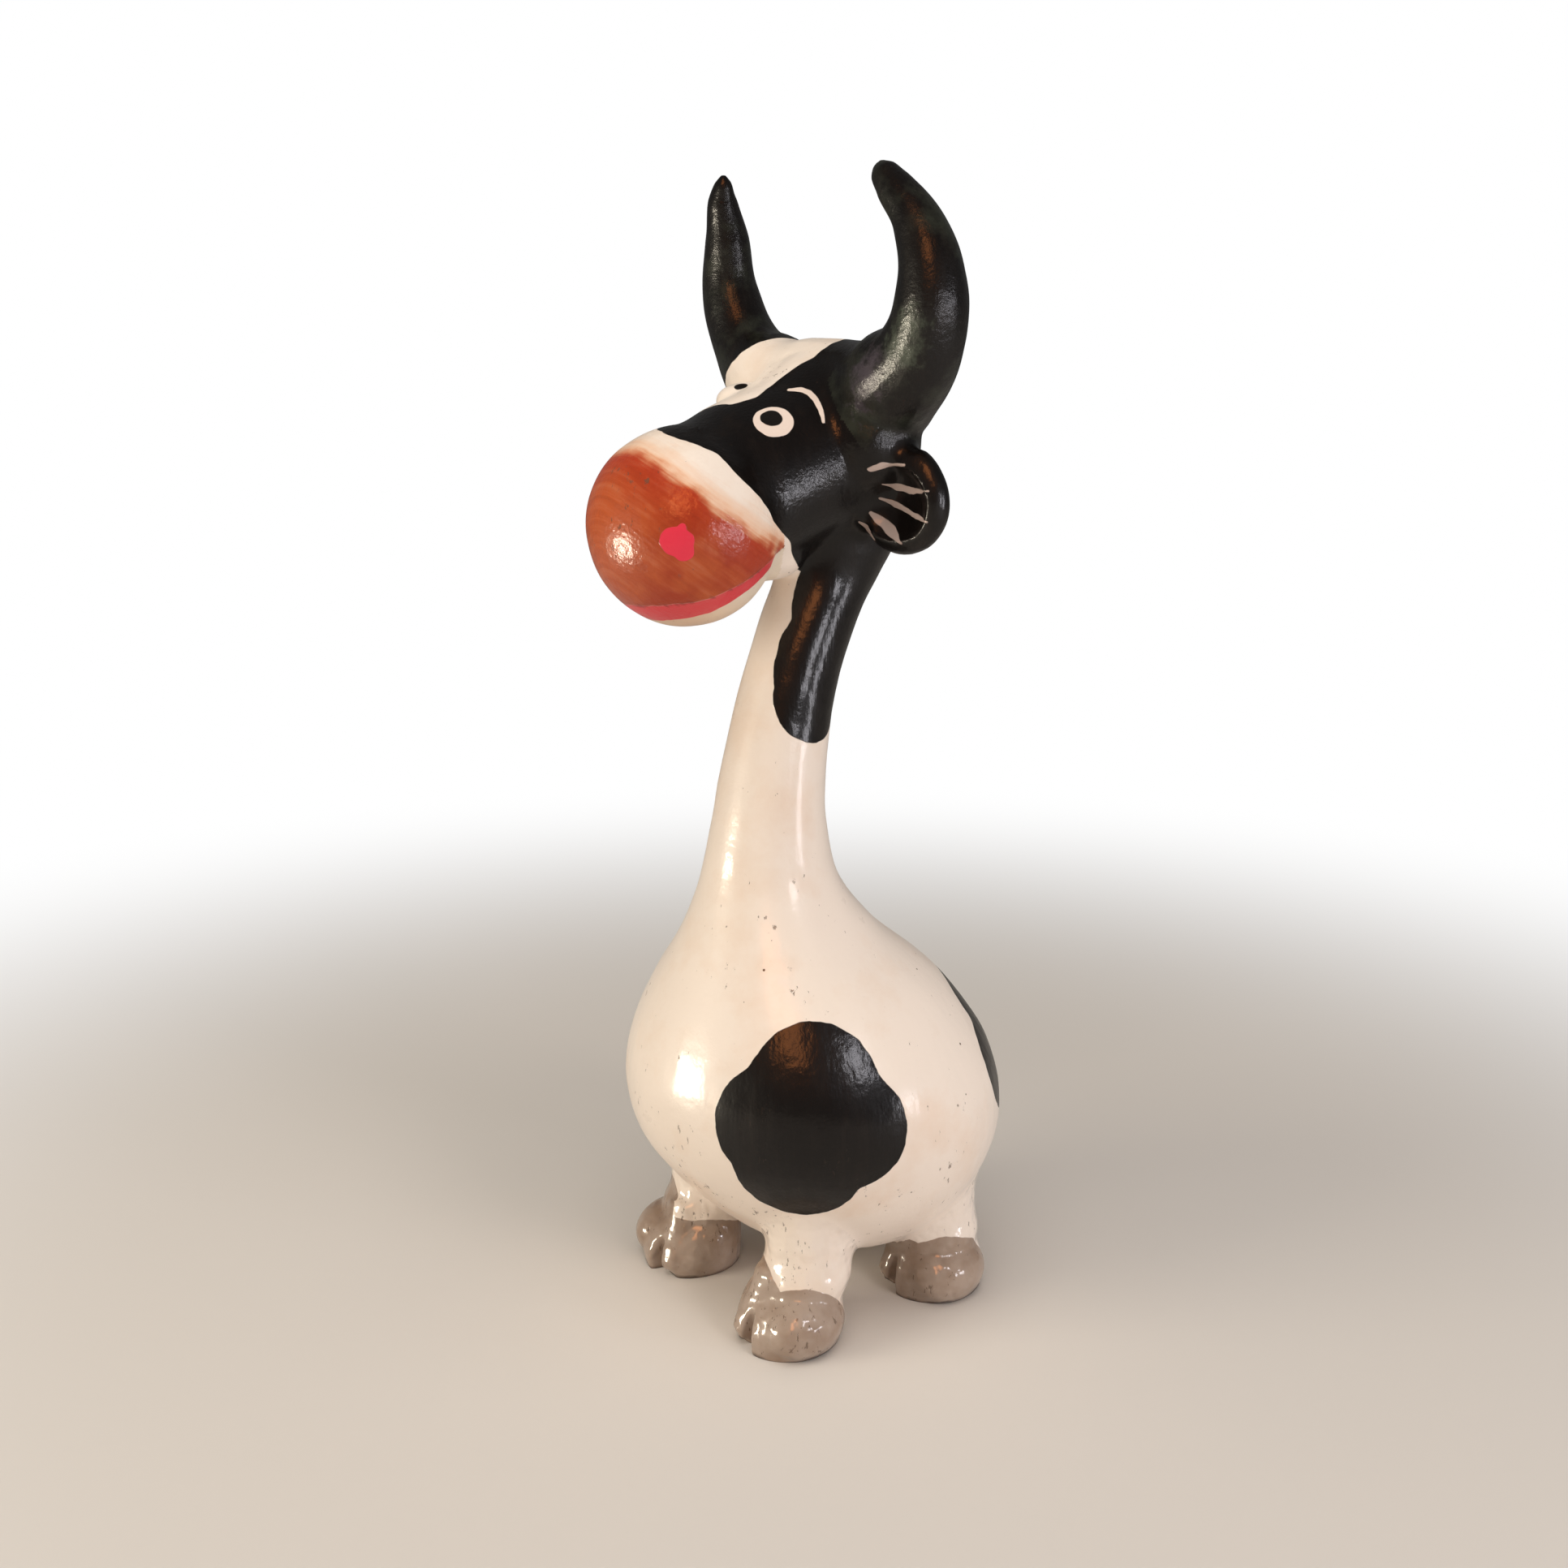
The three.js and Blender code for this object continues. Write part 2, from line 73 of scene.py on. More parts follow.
# The ball of the muzzle, and the slightly smaller ball that shows under it as the lower lip.
MUZZLE_PLACE = (0, -42.4, 1.4)
MUZZLE_RADIUS = 24.8
LOWER_LIP_PLACE = (0, -43.4, 0.9)
LOWER_LIP_RADIUS = 23.7

# The mouth line is level at the front and climbs to the cheeks: a place on each of its two runs, and how
# steeply that run climbs to the rear.
MOUTH = [((0, -52, 196.3), 0.2), ((0, -31.6, 203), 0.52)]

# The poll is the ridge from horn to horn over the crest: sideways, to the rear, up, and radius.
POLL = [(-26, 11.5, 14, 11.4), (-9, 11.5, 13.7, 11.8), (9, 11.5, 12.8, 11.8), (26, 11.5, 12.4, 11.4)]

# A horn of the left side in the head's frame: sideways, to the rear, up, and radius.
HORN = [
    (13, 10.5, 5.4, 12.6), (23.9, 11.8, 12.1, 13.3), (37.8, 14.8, 21.1, 10.2), (43.5, 19, 34.4, 8.3),
    (40.9, 22.8, 47.1, 6.2), (34.8, 24.2, 56, 4.5), (32, 24.8, 59.8, 3.2), (31, 25, 61.4, 1.6),
]

# The right horn was drawn out taller and slimmer.
RIGHT_HORN = [
    (-12.1, 10.5, 5.9, 12.6), (-22.2, 11.8, 13.1, 13.3), (-35.2, 14.8, 22.9, 9.7), (-40.5, 19, 37.3, 7.9),
    (-38, 22.8, 51.1, 5.9), (-35.4, 24.2, 60.8, 3.9), (-33, 24.8, 64.9, 2.3), (-32, 25, 66.8, 0.9),
]

# An ear with its hollow to the front: distance from the head, half height, half thickness. Then its place,
# its twist, droop and sweep in degrees, and the place and half sizes of the thumb that hollowed it.
EAR = [
    (-6.9, 8.7, 5.4), (0, 11.2, 5.7), (6.9, 14, 6), (13.8, 13.3, 5.1), (19.6, 9.2, 4), (22.3, 4.5, 2.2),
    (23, 0.5, 0.3),
]
EAR_PLACE = (20.4, 0, -8.8)
EAR_TURN = (-20, 24, 6)
EAR_HOLLOW_PLACE = (9.3, -6.6, 0)
EAR_HOLLOW = (10.8, 6.9, 10.2)

# Clay pressed in between horn, ear and cheek and over the crown, in the head's frame, and under the jaw to
# the throat: place and half sizes.
TEMPLE_PLACE = (20.5, 4.6, 1.5)
TEMPLE = (11, 12, 14)
CROWN_PLACE = (-5, 3.6, 11.4)
CROWN = (17, 9.5, 11.8)
JAW_PLACE = (0, -13, 207.8)
JAW = (14, 9, 8)

# Small pellets of clay: one behind each ear root, and one that raises the brow over the right eye.
EAR_ROOT_PLACE = (19.7, 3.5, 221.9)
EAR_ROOT = (2.5, 2.5, 2.5)
RIGHT_BROW_PLACE = (-10.5, -11, 245)
RIGHT_BROW_PELLET = (7.5, 8, 4.8)

# A leg over the middle of its footprint. Each ring of heel and stump has a height, half width, half length
# and the share of the leg's reach that it steps to the rear.
HEEL = [
    (-2, 12.8, 13.8, 0), (1.7, 13.8, 14.5, 0), (6, 14.2, 14.4, 0), (11.9, 13.3, 12.6, 0.25),
    (16, 10.8, 10.5, 0.65), (18, 6, 6, 0.8),
]
STUMP = [
    (11, 11.2, 11.2, 0.5), (17, 12.8, 12.8, 0.75), (23, 11.7, 11.7, 1), (30.6, 11.7, 11.7, 1),
    (40.8, 12.4, 12.4, 1),
]

# Outward, to the rear and up from the middle of a foot: the large outer toe with its half sizes, the pointed
# inner toe as a coil with its radii, the groove that a finger made between them, and the arch that lifts the
# tip of the inner toe off the ground.
OUTER_TOE = ((7.3, -1.6, 6.8), (9, 12.4, 9))
INNER_TOE = [
    (-2, -2, 18, 6.5), (-3.4, -4.8, 12.2, 5.4), (-5.1, -8, 7.3, 4.4), (-6.7, -11.2, 4.2, 3.4),
    (-7.4, -12.9, 3.4, 2),
]
GROOVE = ((-2.6, -16.4, 2.5), (2.1, 7.4, 11.5))
TOE_ARCH = ((-6.2, -15.6, -0.4), (5.2, 5.4, 3.2))

# The feet: name, sideways and rearward place, how far the leg steps to the rear above its hoof, and how far
# the hoof is turned, in degrees.
FEET = [
    ("leg_front_left", 25, -21.95, 6.5, 12),
    ("leg_front_right", -25, -21.95, 6.5, 0),
    ("leg_back_left", 25, 28.05, 0, 5),
    ("leg_back_right", -25, 28.05, 0, -5),
]

# The tail down the rump: sideways, to the rear, height and radius.
TAIL = [
    (0, 40, 88, 1.6), (0, 44.9, 82, 3), (0, 51.8, 72, 3), (0, 55.3, 60, 2.9), (0, 56, 51, 3.6),
    (0, 54.6, 43, 4.6), (0, 52.6, 37, 2.2),
]

# How uneven a hand leaves the clay, and how wide its dents are.
UNEVENNESS = 0.6
DENT = 17

# How hard a thumb wipes right at a join, where 1 is the most that counts. At the end of its reach it is 0.
THUMB = 1.6

# How far from a piece the skin may be and still go with it when it is parted, and the share of its width to
# which the rim of a parted piece is drawn in before it is closed.
PARTING_REACH = 6
TUCK = 0.88


def clear_selection():
    """Leaves object mode with nothing selected, so that an operator acts on what comes next alone."""
    if bpy.context.object and bpy.context.object.mode != "OBJECT":
        bpy.ops.object.mode_set(mode="OBJECT")
    bpy.ops.object.select_all(action="DESELECT")


def pick(thing):
    """Makes one object the only selected and active one."""
    clear_selection()
    thing.select_set(True)
    bpy.context.view_layer.objects.active = thing


def finish_modifier(thing, name):
    """Applies a modifier that is in place on an object."""
    pick(thing)
    bpy.ops.object.modifier_apply(modifier=name)


def edit_all():
    """Goes into edit mode with the whole of the active mesh selected."""
    bpy.ops.object.mode_set(mode="EDIT")
    bpy.ops.mesh.select_all(action="SELECT")


def face_outward(form):
    """Turns every face of a form outward."""
    pick(form)
    edit_all()
    bpy.ops.mesh.normals_make_consistent(inside=False)
    bpy.ops.object.mode_set(mode="OBJECT")


def set_in_place(form, placement=Matrix.Identity(4)):
    """Moves a form to where it belongs and leaves its object unturned at the origin."""
    form.matrix_world = placement @ form.matrix_world
    pick(form)
    bpy.ops.object.transform_apply(location=True, rotation=True, scale=True)
    face_outward(form)
    return form


def eased(stations, steps):
    """Rows between the stations on a smooth curve through all of them."""
    last = len(stations) - 1
    rows = []
    for i in range(last * steps + 1):
        k = min(i // steps, last - 1)
        t = i / steps - k
        row = []
        for column in zip(*(stations[min(max(k + j, 0), last)] for j in (-1, 0, 1, 2))):
            before, start, end, after = column
            out = (end - before) / 2
            home = (after - start) / 2
            row.append(
                (2 * start - 2 * end + out + home) * t**3
                + (3 * end - 3 * start - 2 * out - home) * t**2
                + out * t
                + start
            )
        rows.append(row)
    return rows


def draw_up(stations, sides, steps=3):
    """A closed form drawn up from its first ring: the end face is extruded to each next ring and resized."""
    rows = eased(stations, steps)
    height, wide, long, back = rows[0]
    clear_selection()
    bpy.ops.mesh.primitive_circle_add(
        vertices=sides, radius=wide * MM, fill_type="NGON", location=(0, back * MM, height * MM)
    )
    form = bpy.context.object
    edit_all()
    bpy.ops.transform.resize(value=(1, long / wide, 1), center_override=(0, back * MM, height * MM))
    for next_height, next_wide, next_long, next_back in rows[1:]:
        lift = (0, (next_back - back) * MM, (next_height - height) * MM)
        bpy.ops.mesh.extrude_region_move(TRANSFORM_OT_translate={"value": lift})
        bpy.ops.transform.resize(
            value=(next_wide / wide, next_long / long, 1),
            center_override=(0, next_back * MM, next_height * MM),
        )
        height, wide, long, back = next_height, next_wide, next_long, next_back
    bpy.ops.object.mode_set(mode="OBJECT")
    return form


def roll_out(knots):
    """A rolled coil of clay through the knots, each with its own radius, closed at both ends."""
    clear_selection()
    bpy.ops.curve.primitive_bezier_curve_add()
    coil = bpy.context.object
    coil.data.bevel_depth = MM
    coil.data.bevel_resolution = 8
    coil.data.resolution_u = 10
    coil.data.use_fill_caps = True
    spline = coil.data.splines[0]
    spline.bezier_points.add(len(knots) - 2)
    spline.radius_interpolation = "CARDINAL"
    for knot, (across, back, up, radius) in zip(spline.bezier_points, knots):
        knot.co = Vector((across, back, up)) * MM
        knot.radius = radius
        knot.handle_left_type = "AUTO"
        knot.handle_right_type = "AUTO"
    bpy.ops.object.convert(target="MESH")
    edit_all()
    bpy.ops.mesh.remove_doubles(threshold=0.01 * MM)
    bpy.ops.object.mode_set(mode="OBJECT")
    return coil


def ball(place, radii):
    """A pressed ball of clay with its own half width, half length and half height."""
    clear_selection()
    middle = Vector(place) * MM
    bpy.ops.mesh.primitive_uv_sphere_add(segments=48, ring_count=32, radius=MM, location=middle)
    form = bpy.context.object
    edit_all()
    bpy.ops.transform.resize(value=radii, center_override=middle)
    bpy.ops.object.mode_set(mode="OBJECT")
    return form


def slice_off(form, place, normal, keep_front, closed=True):
    """Cuts a form along a plane and drops one side."""
    pick(form)
    edit_all()
    bpy.ops.mesh.bisect(
        plane_co=place, plane_no=normal, use_fill=closed, clear_inner=keep_front, clear_outer=not keep_front
    )
    bpy.ops.object.mode_set(mode="OBJECT")


def press_in(form, tool):
    """Presses the shape of a tool into a form."""
    hollow = form.modifiers.new("pressed in", "BOOLEAN")
    hollow.operation = "DIFFERENCE"
    hollow.object = tool
    finish_modifier(form, hollow.name)
    bpy.data.objects.remove(tool)


def distances_to(members, reach):
    """A function that lists how far a place is from each of the clay pieces that are within reach of it."""
    depsgraph = bpy.context.evaluated_depsgraph_get()
    pieces = []
    for number, member in enumerate(members):
        low, high = (Vector(corner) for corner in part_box(member))
        tree = BVHTree.FromObject(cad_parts[member], depsgraph)
        pieces.append((number, tree, low - Vector((reach,) * 3), high + Vector((reach,) * 3)))

    def measure(place):
        found = []
        for number, tree, low, high in pieces:
            if all(low[i] <= place[i] <= high[i] for i in range(3)):
                found.append((tree.find_nearest(place)[3], number))
        return sorted(found)

    return measure


def wipe(skin, name, strokes, group=""):
    """Smooths a skin by strokes of a wet hand, all over or as far as a vertex group says."""
    wiped = skin.modifiers.new(name, "SMOOTH")
    wiped.factor = 0.5
    wiped.iterations = strokes
    wiped.vertex_group = group
    finish_modifier(skin, name)


def wipe_joins(skin, members, reach, strokes):
    """Wipes the clay over the joins: the nearer a place is to two pieces, the more it is smoothed."""
    measure = distances_to(members, reach * MM)
    joins = skin.vertex_groups.new(name="joins")
    for vertex in skin.data.vertices:
        found = measure(vertex.co)
        if len(found) > 1:
            nearness = 1 - found[1][0] / (reach * MM)
            if nearness > 0:
                joins.add([vertex.index], min(1, THUMB * nearness), "REPLACE")
    wipe(skin, "joins wiped with a thumb", strokes, joins.name)
    skin.vertex_groups.clear()


def press_together(forms, members, grain, strokes, join_reach, join_strokes):
    """Joins forms into one skin of clay, wipes it smooth and leaves the unevenness of a hand."""
    clear_selection()
    for form in forms:
        form.select_set(True)
    bpy.context.view_layer.objects.active = forms[0]
    bpy.ops.object.join()
    skin = bpy.context.object
    remesh = skin.modifiers.new("one skin", "REMESH")
    remesh.mode = "VOXEL"
    remesh.voxel_size = grain * MM
    remesh.use_smooth_shade = True
    finish_modifier(skin, remesh.name)
    wipe(skin, "wiped with a wet finger", strokes)
    wipe_joins(skin, members, join_reach, join_strokes)
    dents = bpy.data.textures.new("finger dents", "CLOUDS")
    dents.noise_scale = DENT * MM
    dents.noise_depth = 1
    uneven = skin.modifiers.new("uneven hand", "DISPLACE")
    uneven.texture = dents
    uneven.texture_coords = "GLOBAL"
    uneven.mid_level = 0.5
    uneven.strength = UNEVENNESS * MM
    finish_modifier(skin, uneven.name)
    return skin


def open_rims(piece):
    """The open rims of a piece, each as the set of its edges."""
    shared = {}
    for face in piece.data.polygons:
        for edge in face.edge_keys:
            shared[edge] = shared.get(edge, 0) + 1
    beside = {}
    for start, end in (edge for edge, faces in shared.items() if faces == 1):
        beside.setdefault(start, []).append(end)
        beside.setdefault(end, []).append(start)
    rims = []
    while beside:
        rim = set()
        ahead = [min(beside)]
        while ahead:
            corner = ahead.pop()
            for other in beside.pop(corner, []):
                rim.add((min(corner, other), max(corner, other)))
                ahead.append(other)
        rims.append(rim)
    return rims


def tuck_in_and_close(piece):
    """Turns each open rim of a piece inward and closes it, so that what closes it stays out of sight."""
    numbers = {edge: number for number, edge in enumerate(piece.data.edge_keys)}
    rims = []
    for rim in open_rims(piece):
        rims.append(([numbers[edge] for edge in rim], {corner for edge in rim for corner in edge}))
    for edges, corners in rims:
        middle = sum((piece.data.vertices[corner].co for corner in corners), Vector()) / len(corners)
        pick(piece)
        bpy.ops.object.mode_set(mode="EDIT")
        bpy.ops.mesh.select_mode(type="EDGE")
        bpy.ops.mesh.select_all(action="DESELECT")
        bpy.ops.object.mode_set(mode="OBJECT")
        for number in edges:
            piece.data.edges[number].select = True
        bpy.ops.object.mode_set(mode="EDIT")
        bpy.ops.mesh.extrude_edges_move()
        bpy.ops.transform.resize(value=(TUCK,) * 3, center_override=middle)
        bpy.ops.mesh.fill_holes(sides=0)
        bpy.ops.object.mode_set(mode="OBJECT")
    face_outward(piece)


def straighten_borders(skin, passes):
    """Gives each face to the piece that most faces round it belong to, so that none is left astray."""
    faces = skin.data.polygons
    corners = [tuple(face.vertices) for face in faces]
    around = [[] for _ in skin.data.vertices]
    for number, ring in enumerate(corners):
        for vertex in ring:
            around[vertex].append(number)
    owners = [face.material_index for face in faces]
    for _ in range(passes):
        changed = list(owners)
        for number, ring in enumerate(corners):
            votes = [owners[near] for vertex in ring for near in around[vertex]]
            if votes.count(votes[0]) < len(votes):
                changed[number] = max(sorted(set(votes)), key=votes.count)
        owners = changed
    for face, owner in zip(faces, owners):
        face.material_index = owner


def part_at_joins(skin, members):
    """Parts a skin into the pieces of clay it was pressed from, each closed where the next one sat."""
    measure = distances_to(members, PARTING_REACH * MM)
    skin.data.materials.clear()
    for member in members:
        skin.data.materials.append(bpy.data.materials.new("marker " + member))
    for face in skin.data.polygons:
        found = measure(face.center)
        face.material_index = found[0][1] if found else 0
    straighten_borders(skin, passes=5)
    pick(skin)
    bpy.ops.object.duplicate()
    whole = bpy.context.object
    pick(skin)
    edit_all()
    bpy.ops.mesh.separate(type="MATERIAL")
    bpy.ops.object.mode_set(mode="OBJECT")
    pieces = {}
    for piece in list(bpy.context.selected_objects):
        member = piece.material_slots[0].material.name.removeprefix("marker ")
        piece.name = "clay_" + member
        piece.data.name = piece.name
        tuck_in_and_close(piece)
        shading = piece.modifiers.new("shading of the whole skin", "DATA_TRANSFER")
        shading.object = whole
        shading.use_loop_data = True
        shading.data_types_loops = {"CUSTOM_NORMAL"}
        shading.loop_mapping = "POLYINTERP_NEAREST"
        finish_modifier(piece, shading.name)
        pieces[member] = piece
    bpy.data.objects.remove(whole)
    return pieces


def mouth_normal(climb):
    """The way that a run of the mouth faces, square to its climb to the rear."""
    return Vector((0, -climb, 1)).normalized()


def muzzle_forms():
    """The ball of the muzzle, over a slightly smaller ball for the lower lip."""
    upper = set_in_place(ball(MUZZLE_PLACE, (MUZZLE_RADIUS,) * 3), HEAD)
    for place, climb in MOUTH:
        slice_off(upper, Vector(place) * MM, mouth_normal(climb), keep_front=True)
    return [upper, set_in_place(ball(LOWER_LIP_PLACE, (LOWER_LIP_RADIUS,) * 3), HEAD)]


def ear_form(side):
    """One ear: a thick leaf of clay, pressed hollow on the front with a thumb."""
    ear = draw_up([(out, tall, thick, 0) for out, tall, thick in EAR], sides=32)
    set_in_place(ear, Matrix.Rotation(math.radians(90), 4, "Y"))
    press_in(ear, set_in_place(ball(EAR_HOLLOW_PLACE, EAR_HOLLOW)))
    twist, droop, sweep = (math.radians(angle) for angle in EAR_TURN)
    turn = Matrix.Rotation(sweep, 4, "Z") @ Matrix.Rotation(droop, 4, "Y") @ Matrix.Rotation(twist, 4, "X")
    placement = Matrix.Translation(Vector(EAR_PLACE) * MM) @ turn
    return set_in_place(ear, HEAD @ Matrix.Diagonal((side, 1, 1, 1)) @ placement)


def leg_forms(across, along, reach, turn):
    """One leg: a hoof of heel and two toes, turned out by hand, under a stump that runs into the belly."""
    middle = Matrix.Translation((across * MM, along * MM, 0))
    outward = Matrix.Diagonal((math.copysign(1, across), 1, 1, 1))
    heel = draw_up([(height, wide, long, reach * share) for height, wide, long, share in HEEL], sides=32)
    hoof = [heel, ball(*OUTER_TOE), roll_out(INNER_TOE)]
    for form in hoof:
        set_in_place(form)
        for hollow in (GROOVE, TOE_ARCH):
            press_in(form, set_in_place(ball(*hollow)))
        set_in_place(form, middle @ Matrix.Rotation(math.radians(turn), 4, "Z") @ outward)
    stump = draw_up([(height, wide, long, reach * share) for height, wide, long, share in STUMP], sides=32)
    return hoof + [set_in_place(stump, middle)]


def bottle_form():
    """Belly and neck in one."""
    return set_in_place(draw_up(BOTTLE, sides=64, steps=4))


def lower_pieces():
    """Belly, legs and tail, up to the crack line round the neck."""
    forms = [bottle_form()]
    for _, across, along, reach, turn in FEET:
        forms += leg_forms(across, along, reach, turn)
    forms.append(set_in_place(roll_out(TAIL)))
    members = ["body"] + [name for name, *_ in FEET]
    skin = press_together(forms, members, grain=0.8, strokes=8, join_reach=7, join_strokes=140)
    slice_off(skin, (0, 0, 0), (0, 0, 1), keep_front=True)
    slice_off(skin, (0, 0, NECK_SEAM * MM), (0, 0, 1), keep_front=False, closed=False)
    return part_at_joins(skin, members + ["tail"])


def upper_pieces():
    """Upper neck, skull, muzzle, horns and ears."""
    face = draw_up(SKULL, sides=48, steps=4)
    set_in_place(face, HEAD @ Matrix.Rotation(math.radians(-90), 4, "X"))
    forms = [bottle_form(), face] + muzzle_forms()
    forms += [set_in_place(roll_out(knots), HEAD) for knots in (HORN, RIGHT_HORN)]
    forms += [ear_form(side) for side in (1, -1)]
    across, back, up = TEMPLE_PLACE
    fillings = [ball((side * across, back, up), TEMPLE) for side in (1, -1)]
    fillings += [ball(CROWN_PLACE, CROWN), roll_out(POLL)]
    for filling in fillings:
        set_in_place(filling, HEAD)
    across, back, up = EAR_ROOT_PLACE
    pellets = [ball((side * across, back, up), EAR_ROOT) for side in (1, -1)]
    pellets += [ball(RIGHT_BROW_PLACE, RIGHT_BROW_PELLET), ball(JAW_PLACE, JAW)]
    for pellet in pellets:
        set_in_place(pellet)
    members = ["neck", "skull", "muzzle", "horn_left", "horn_right", "ear_left", "ear_right"]
    forms += fillings + pellets
    skin = press_together(forms, members, grain=0.6, strokes=10, join_reach=6, join_strokes=200)
    slice_off(skin, (0, 0, NECK_SEAM * MM), (0, 0, 1), keep_front=True, closed=False)
    return part_at_joins(skin, members)


def colour(code):
    """A colour picked as an sRGB hex value, in the linear light that a shader takes."""
    channels = [int(code[i:i + 2], 16) / 255 for i in (0, 2, 4)]
    linear = [c / 12.92 if c <= 0.04045 else ((c + 0.055) / 1.055) ** 2.4 for c in channels]
    return (*linear, 1)


def add(tree, kind, inputs=None, **settings):
    """Adds a shader node with its settings, fills its sockets with values or with other nodes' outputs, and
    gives the first output that is in use.

    Sockets go by number or name. A MapRange takes 1 to 2 and gives 3 to 4. A Mix takes the upper colour's
    share in 0, the lower colour in 6 and the upper one in 7.
    """
    node = tree.nodes.new("ShaderNode" + kind)
    for key, value in settings.items():
        setattr(node, key, value)
    for key, value in (inputs or {}).items():
        if isinstance(value, bpy.types.NodeSocket):
            tree.links.new(value, node.inputs[key])
        else:
            node.inputs[key].default_value = value
    return next((output for output in node.outputs if output.enabled), None)


# In mm, farther out than any patch of paint.
FAR_OUT = 1000.0


def dabs(tree, place, spots, blend=3.0):
    """How far a place is outside a patch of round dabs of the brush, in mm; less than nothing inside it."""
    reach = FAR_OUT
    for x, y, z, radius in spots:
        far = add(tree, "VectorMath", {0: place, 1: (x, y, z)}, operation="DISTANCE")
        edge = add(tree, "Math", {0: far, 1: radius}, operation="SUBTRACT")
        reach = add(tree, "Math", {0: reach, 1: edge, 2: blend}, operation="SMOOTH_MIN")
    return reach


def stroke(tree, place, points):
    """How far a place is outside a brush stroke through points of x, y, z and half width, in mm."""
    reach = FAR_OUT
    for (*start, start_width), (*end, end_width) in zip(points, points[1:]):
        way = Vector(end) - Vector(start)
        offset = add(tree, "VectorMath", {0: place, 1: start}, operation="SUBTRACT")
        along = add(tree, "VectorMath", {0: offset, 1: way / way.length_squared}, operation="DOT_PRODUCT")
        share = add(tree, "Math", {0: along, 1: 1.0}, operation="MULTIPLY", use_clamp=True)
        nearest = add(tree, "VectorMath", {0: way, "Scale": share}, operation="SCALE")
        far = add(tree, "VectorMath", {0: offset, 1: nearest}, operation="DISTANCE")
        swelling = {0: share, 1: end_width - start_width, 2: start_width}
        width = add(tree, "Math", swelling, operation="MULTIPLY_ADD")
        edge = add(tree, "Math", {0: far, 1: width}, operation="SUBTRACT")
        reach = add(tree, "Math", {0: reach, 1: edge}, operation="MINIMUM")
    return reach


def covered(tree, reaches, waver, soft=0.12):
    """The share of paint at a place: full inside any patch, with edges that waver as a brush does."""
    reach = FAR_OUT
    for other in reaches:
        reach = add(tree, "Math", {0: reach, 1: other}, operation="MINIMUM")
    shaky = add(tree, "Math", {0: reach, 1: waver}, operation="ADD")
    edge = {0: shaky, 1: -soft, 2: soft, 3: 1.0, 4: 0.0}
    return add(tree, "MapRange", edge, interpolation_type="SMOOTHSTEP")


# Black patches, as the dabs that they were filled in with: x, y, z and radius.
FLANK_LEFT = [
    (42.6, -26.4, 77.8, 17.6), (37.6, -34.4, 67.1, 17.2), (40, -30.1, 54.5, 16.5), (47.3, -19.4, 65.9, 16.1),
    (41.8, -26.9, 69.8, 14),
]
FLANK_RIGHT = [
    (-45, -14, 78, 16.5), (-40, -26, 68, 15), (-45, -18, 54, 15.5), (-50, -4, 64, 17), (-46, -14, 66, 14),
]
RUMP = [(32.2, 43.6, 68.1, 15.3), (22, 45, 82, 15), (16, 52, 66, 14), (25, 50, 56, 13)]
NECK = [(18.5, 1.9, 195.2, 16.2), (21.5, -2.4, 179.7, 19), (12.5, -5.3, 169.9, 11.1)]
FACE_LEFT = [
    (3.2, -39, 238.9, 2.9), (4.5, -33.4, 236.1, 11.4), (11.1, -31.9, 238, 9.3), (15.9, -22.3, 234.4, 14.6),
    (17.4, -10.9, 230.6, 19.7), (12.1, 4.4, 224.6, 24.9), (24.4, -8.2, 247.8, 20.3), (17.9, 4, 250.4, 12.7),
    (23.6, -0.1, 231.9, 16),
]
NAPE = [(12, 14, 204, 9), (16, 22, 240, 17), (15, 26, 225, 17), (22, 14, 258, 16), (36, 20, 250, 20)]
LEFT_EAR_SPOT = [(38, 12, 219, 22)]
RIGHT_EAR_SPOT = [(-38, 12, 219, 19)]
RIGHT_HORN_SPOT = [(-34, 10, 259, 16), (-44, 4, 272, 20), (-46, 6, 290, 22), (-38, 8, 305, 20)]
LEFT_HORN_SPOT = [(38, 8, 262, 20), (46, 6, 275, 20), (46, 6, 290, 22), (38, 8, 305, 20)]

# The black of the tail runs on to the rump round it.
TAIL_STROKE = [(across, back, up, radius + 0.9) for across, back, up, radius in eased(TAIL, 2)]

# Where the black lacquer has a greenish bloom, partly a painted reflection of the window in front put on in
# green, and where it is scuffed, both at the root of the left horn.
BLOOM_AND_REFLECTION = [(41.4, -2.1, 256.4, 5), (44, -1, 262, 4)]
SCUFF = [(30.3, -4.2, 249.3, 5), (33, -3.6, 254, 3.5), (29, -4.6, 243, 3)]

# Hoof grey, as dabs over the toes of each foot, and how high it goes round the heel.
HOOF_GREY = [
    [(17.8, -33.4, 5.3, 17.9), (39.7, -28, 1.2, 18.5)],
    [(-14, -24, -6, 22.3), (-22, -30, -4, 20.8), (-33, -31, 15, 12), (-39.7, -28, 1.2, 18.5)],
    [(17.8, 16.6, 5.3, 17.9), (39.7, 22, 1.2, 18.5)],
    [(-17.8, 16.6, 5.3, 17.9), (-39.7, 22, 1.2, 18.5)],
]
HEEL_GREY = 6.5

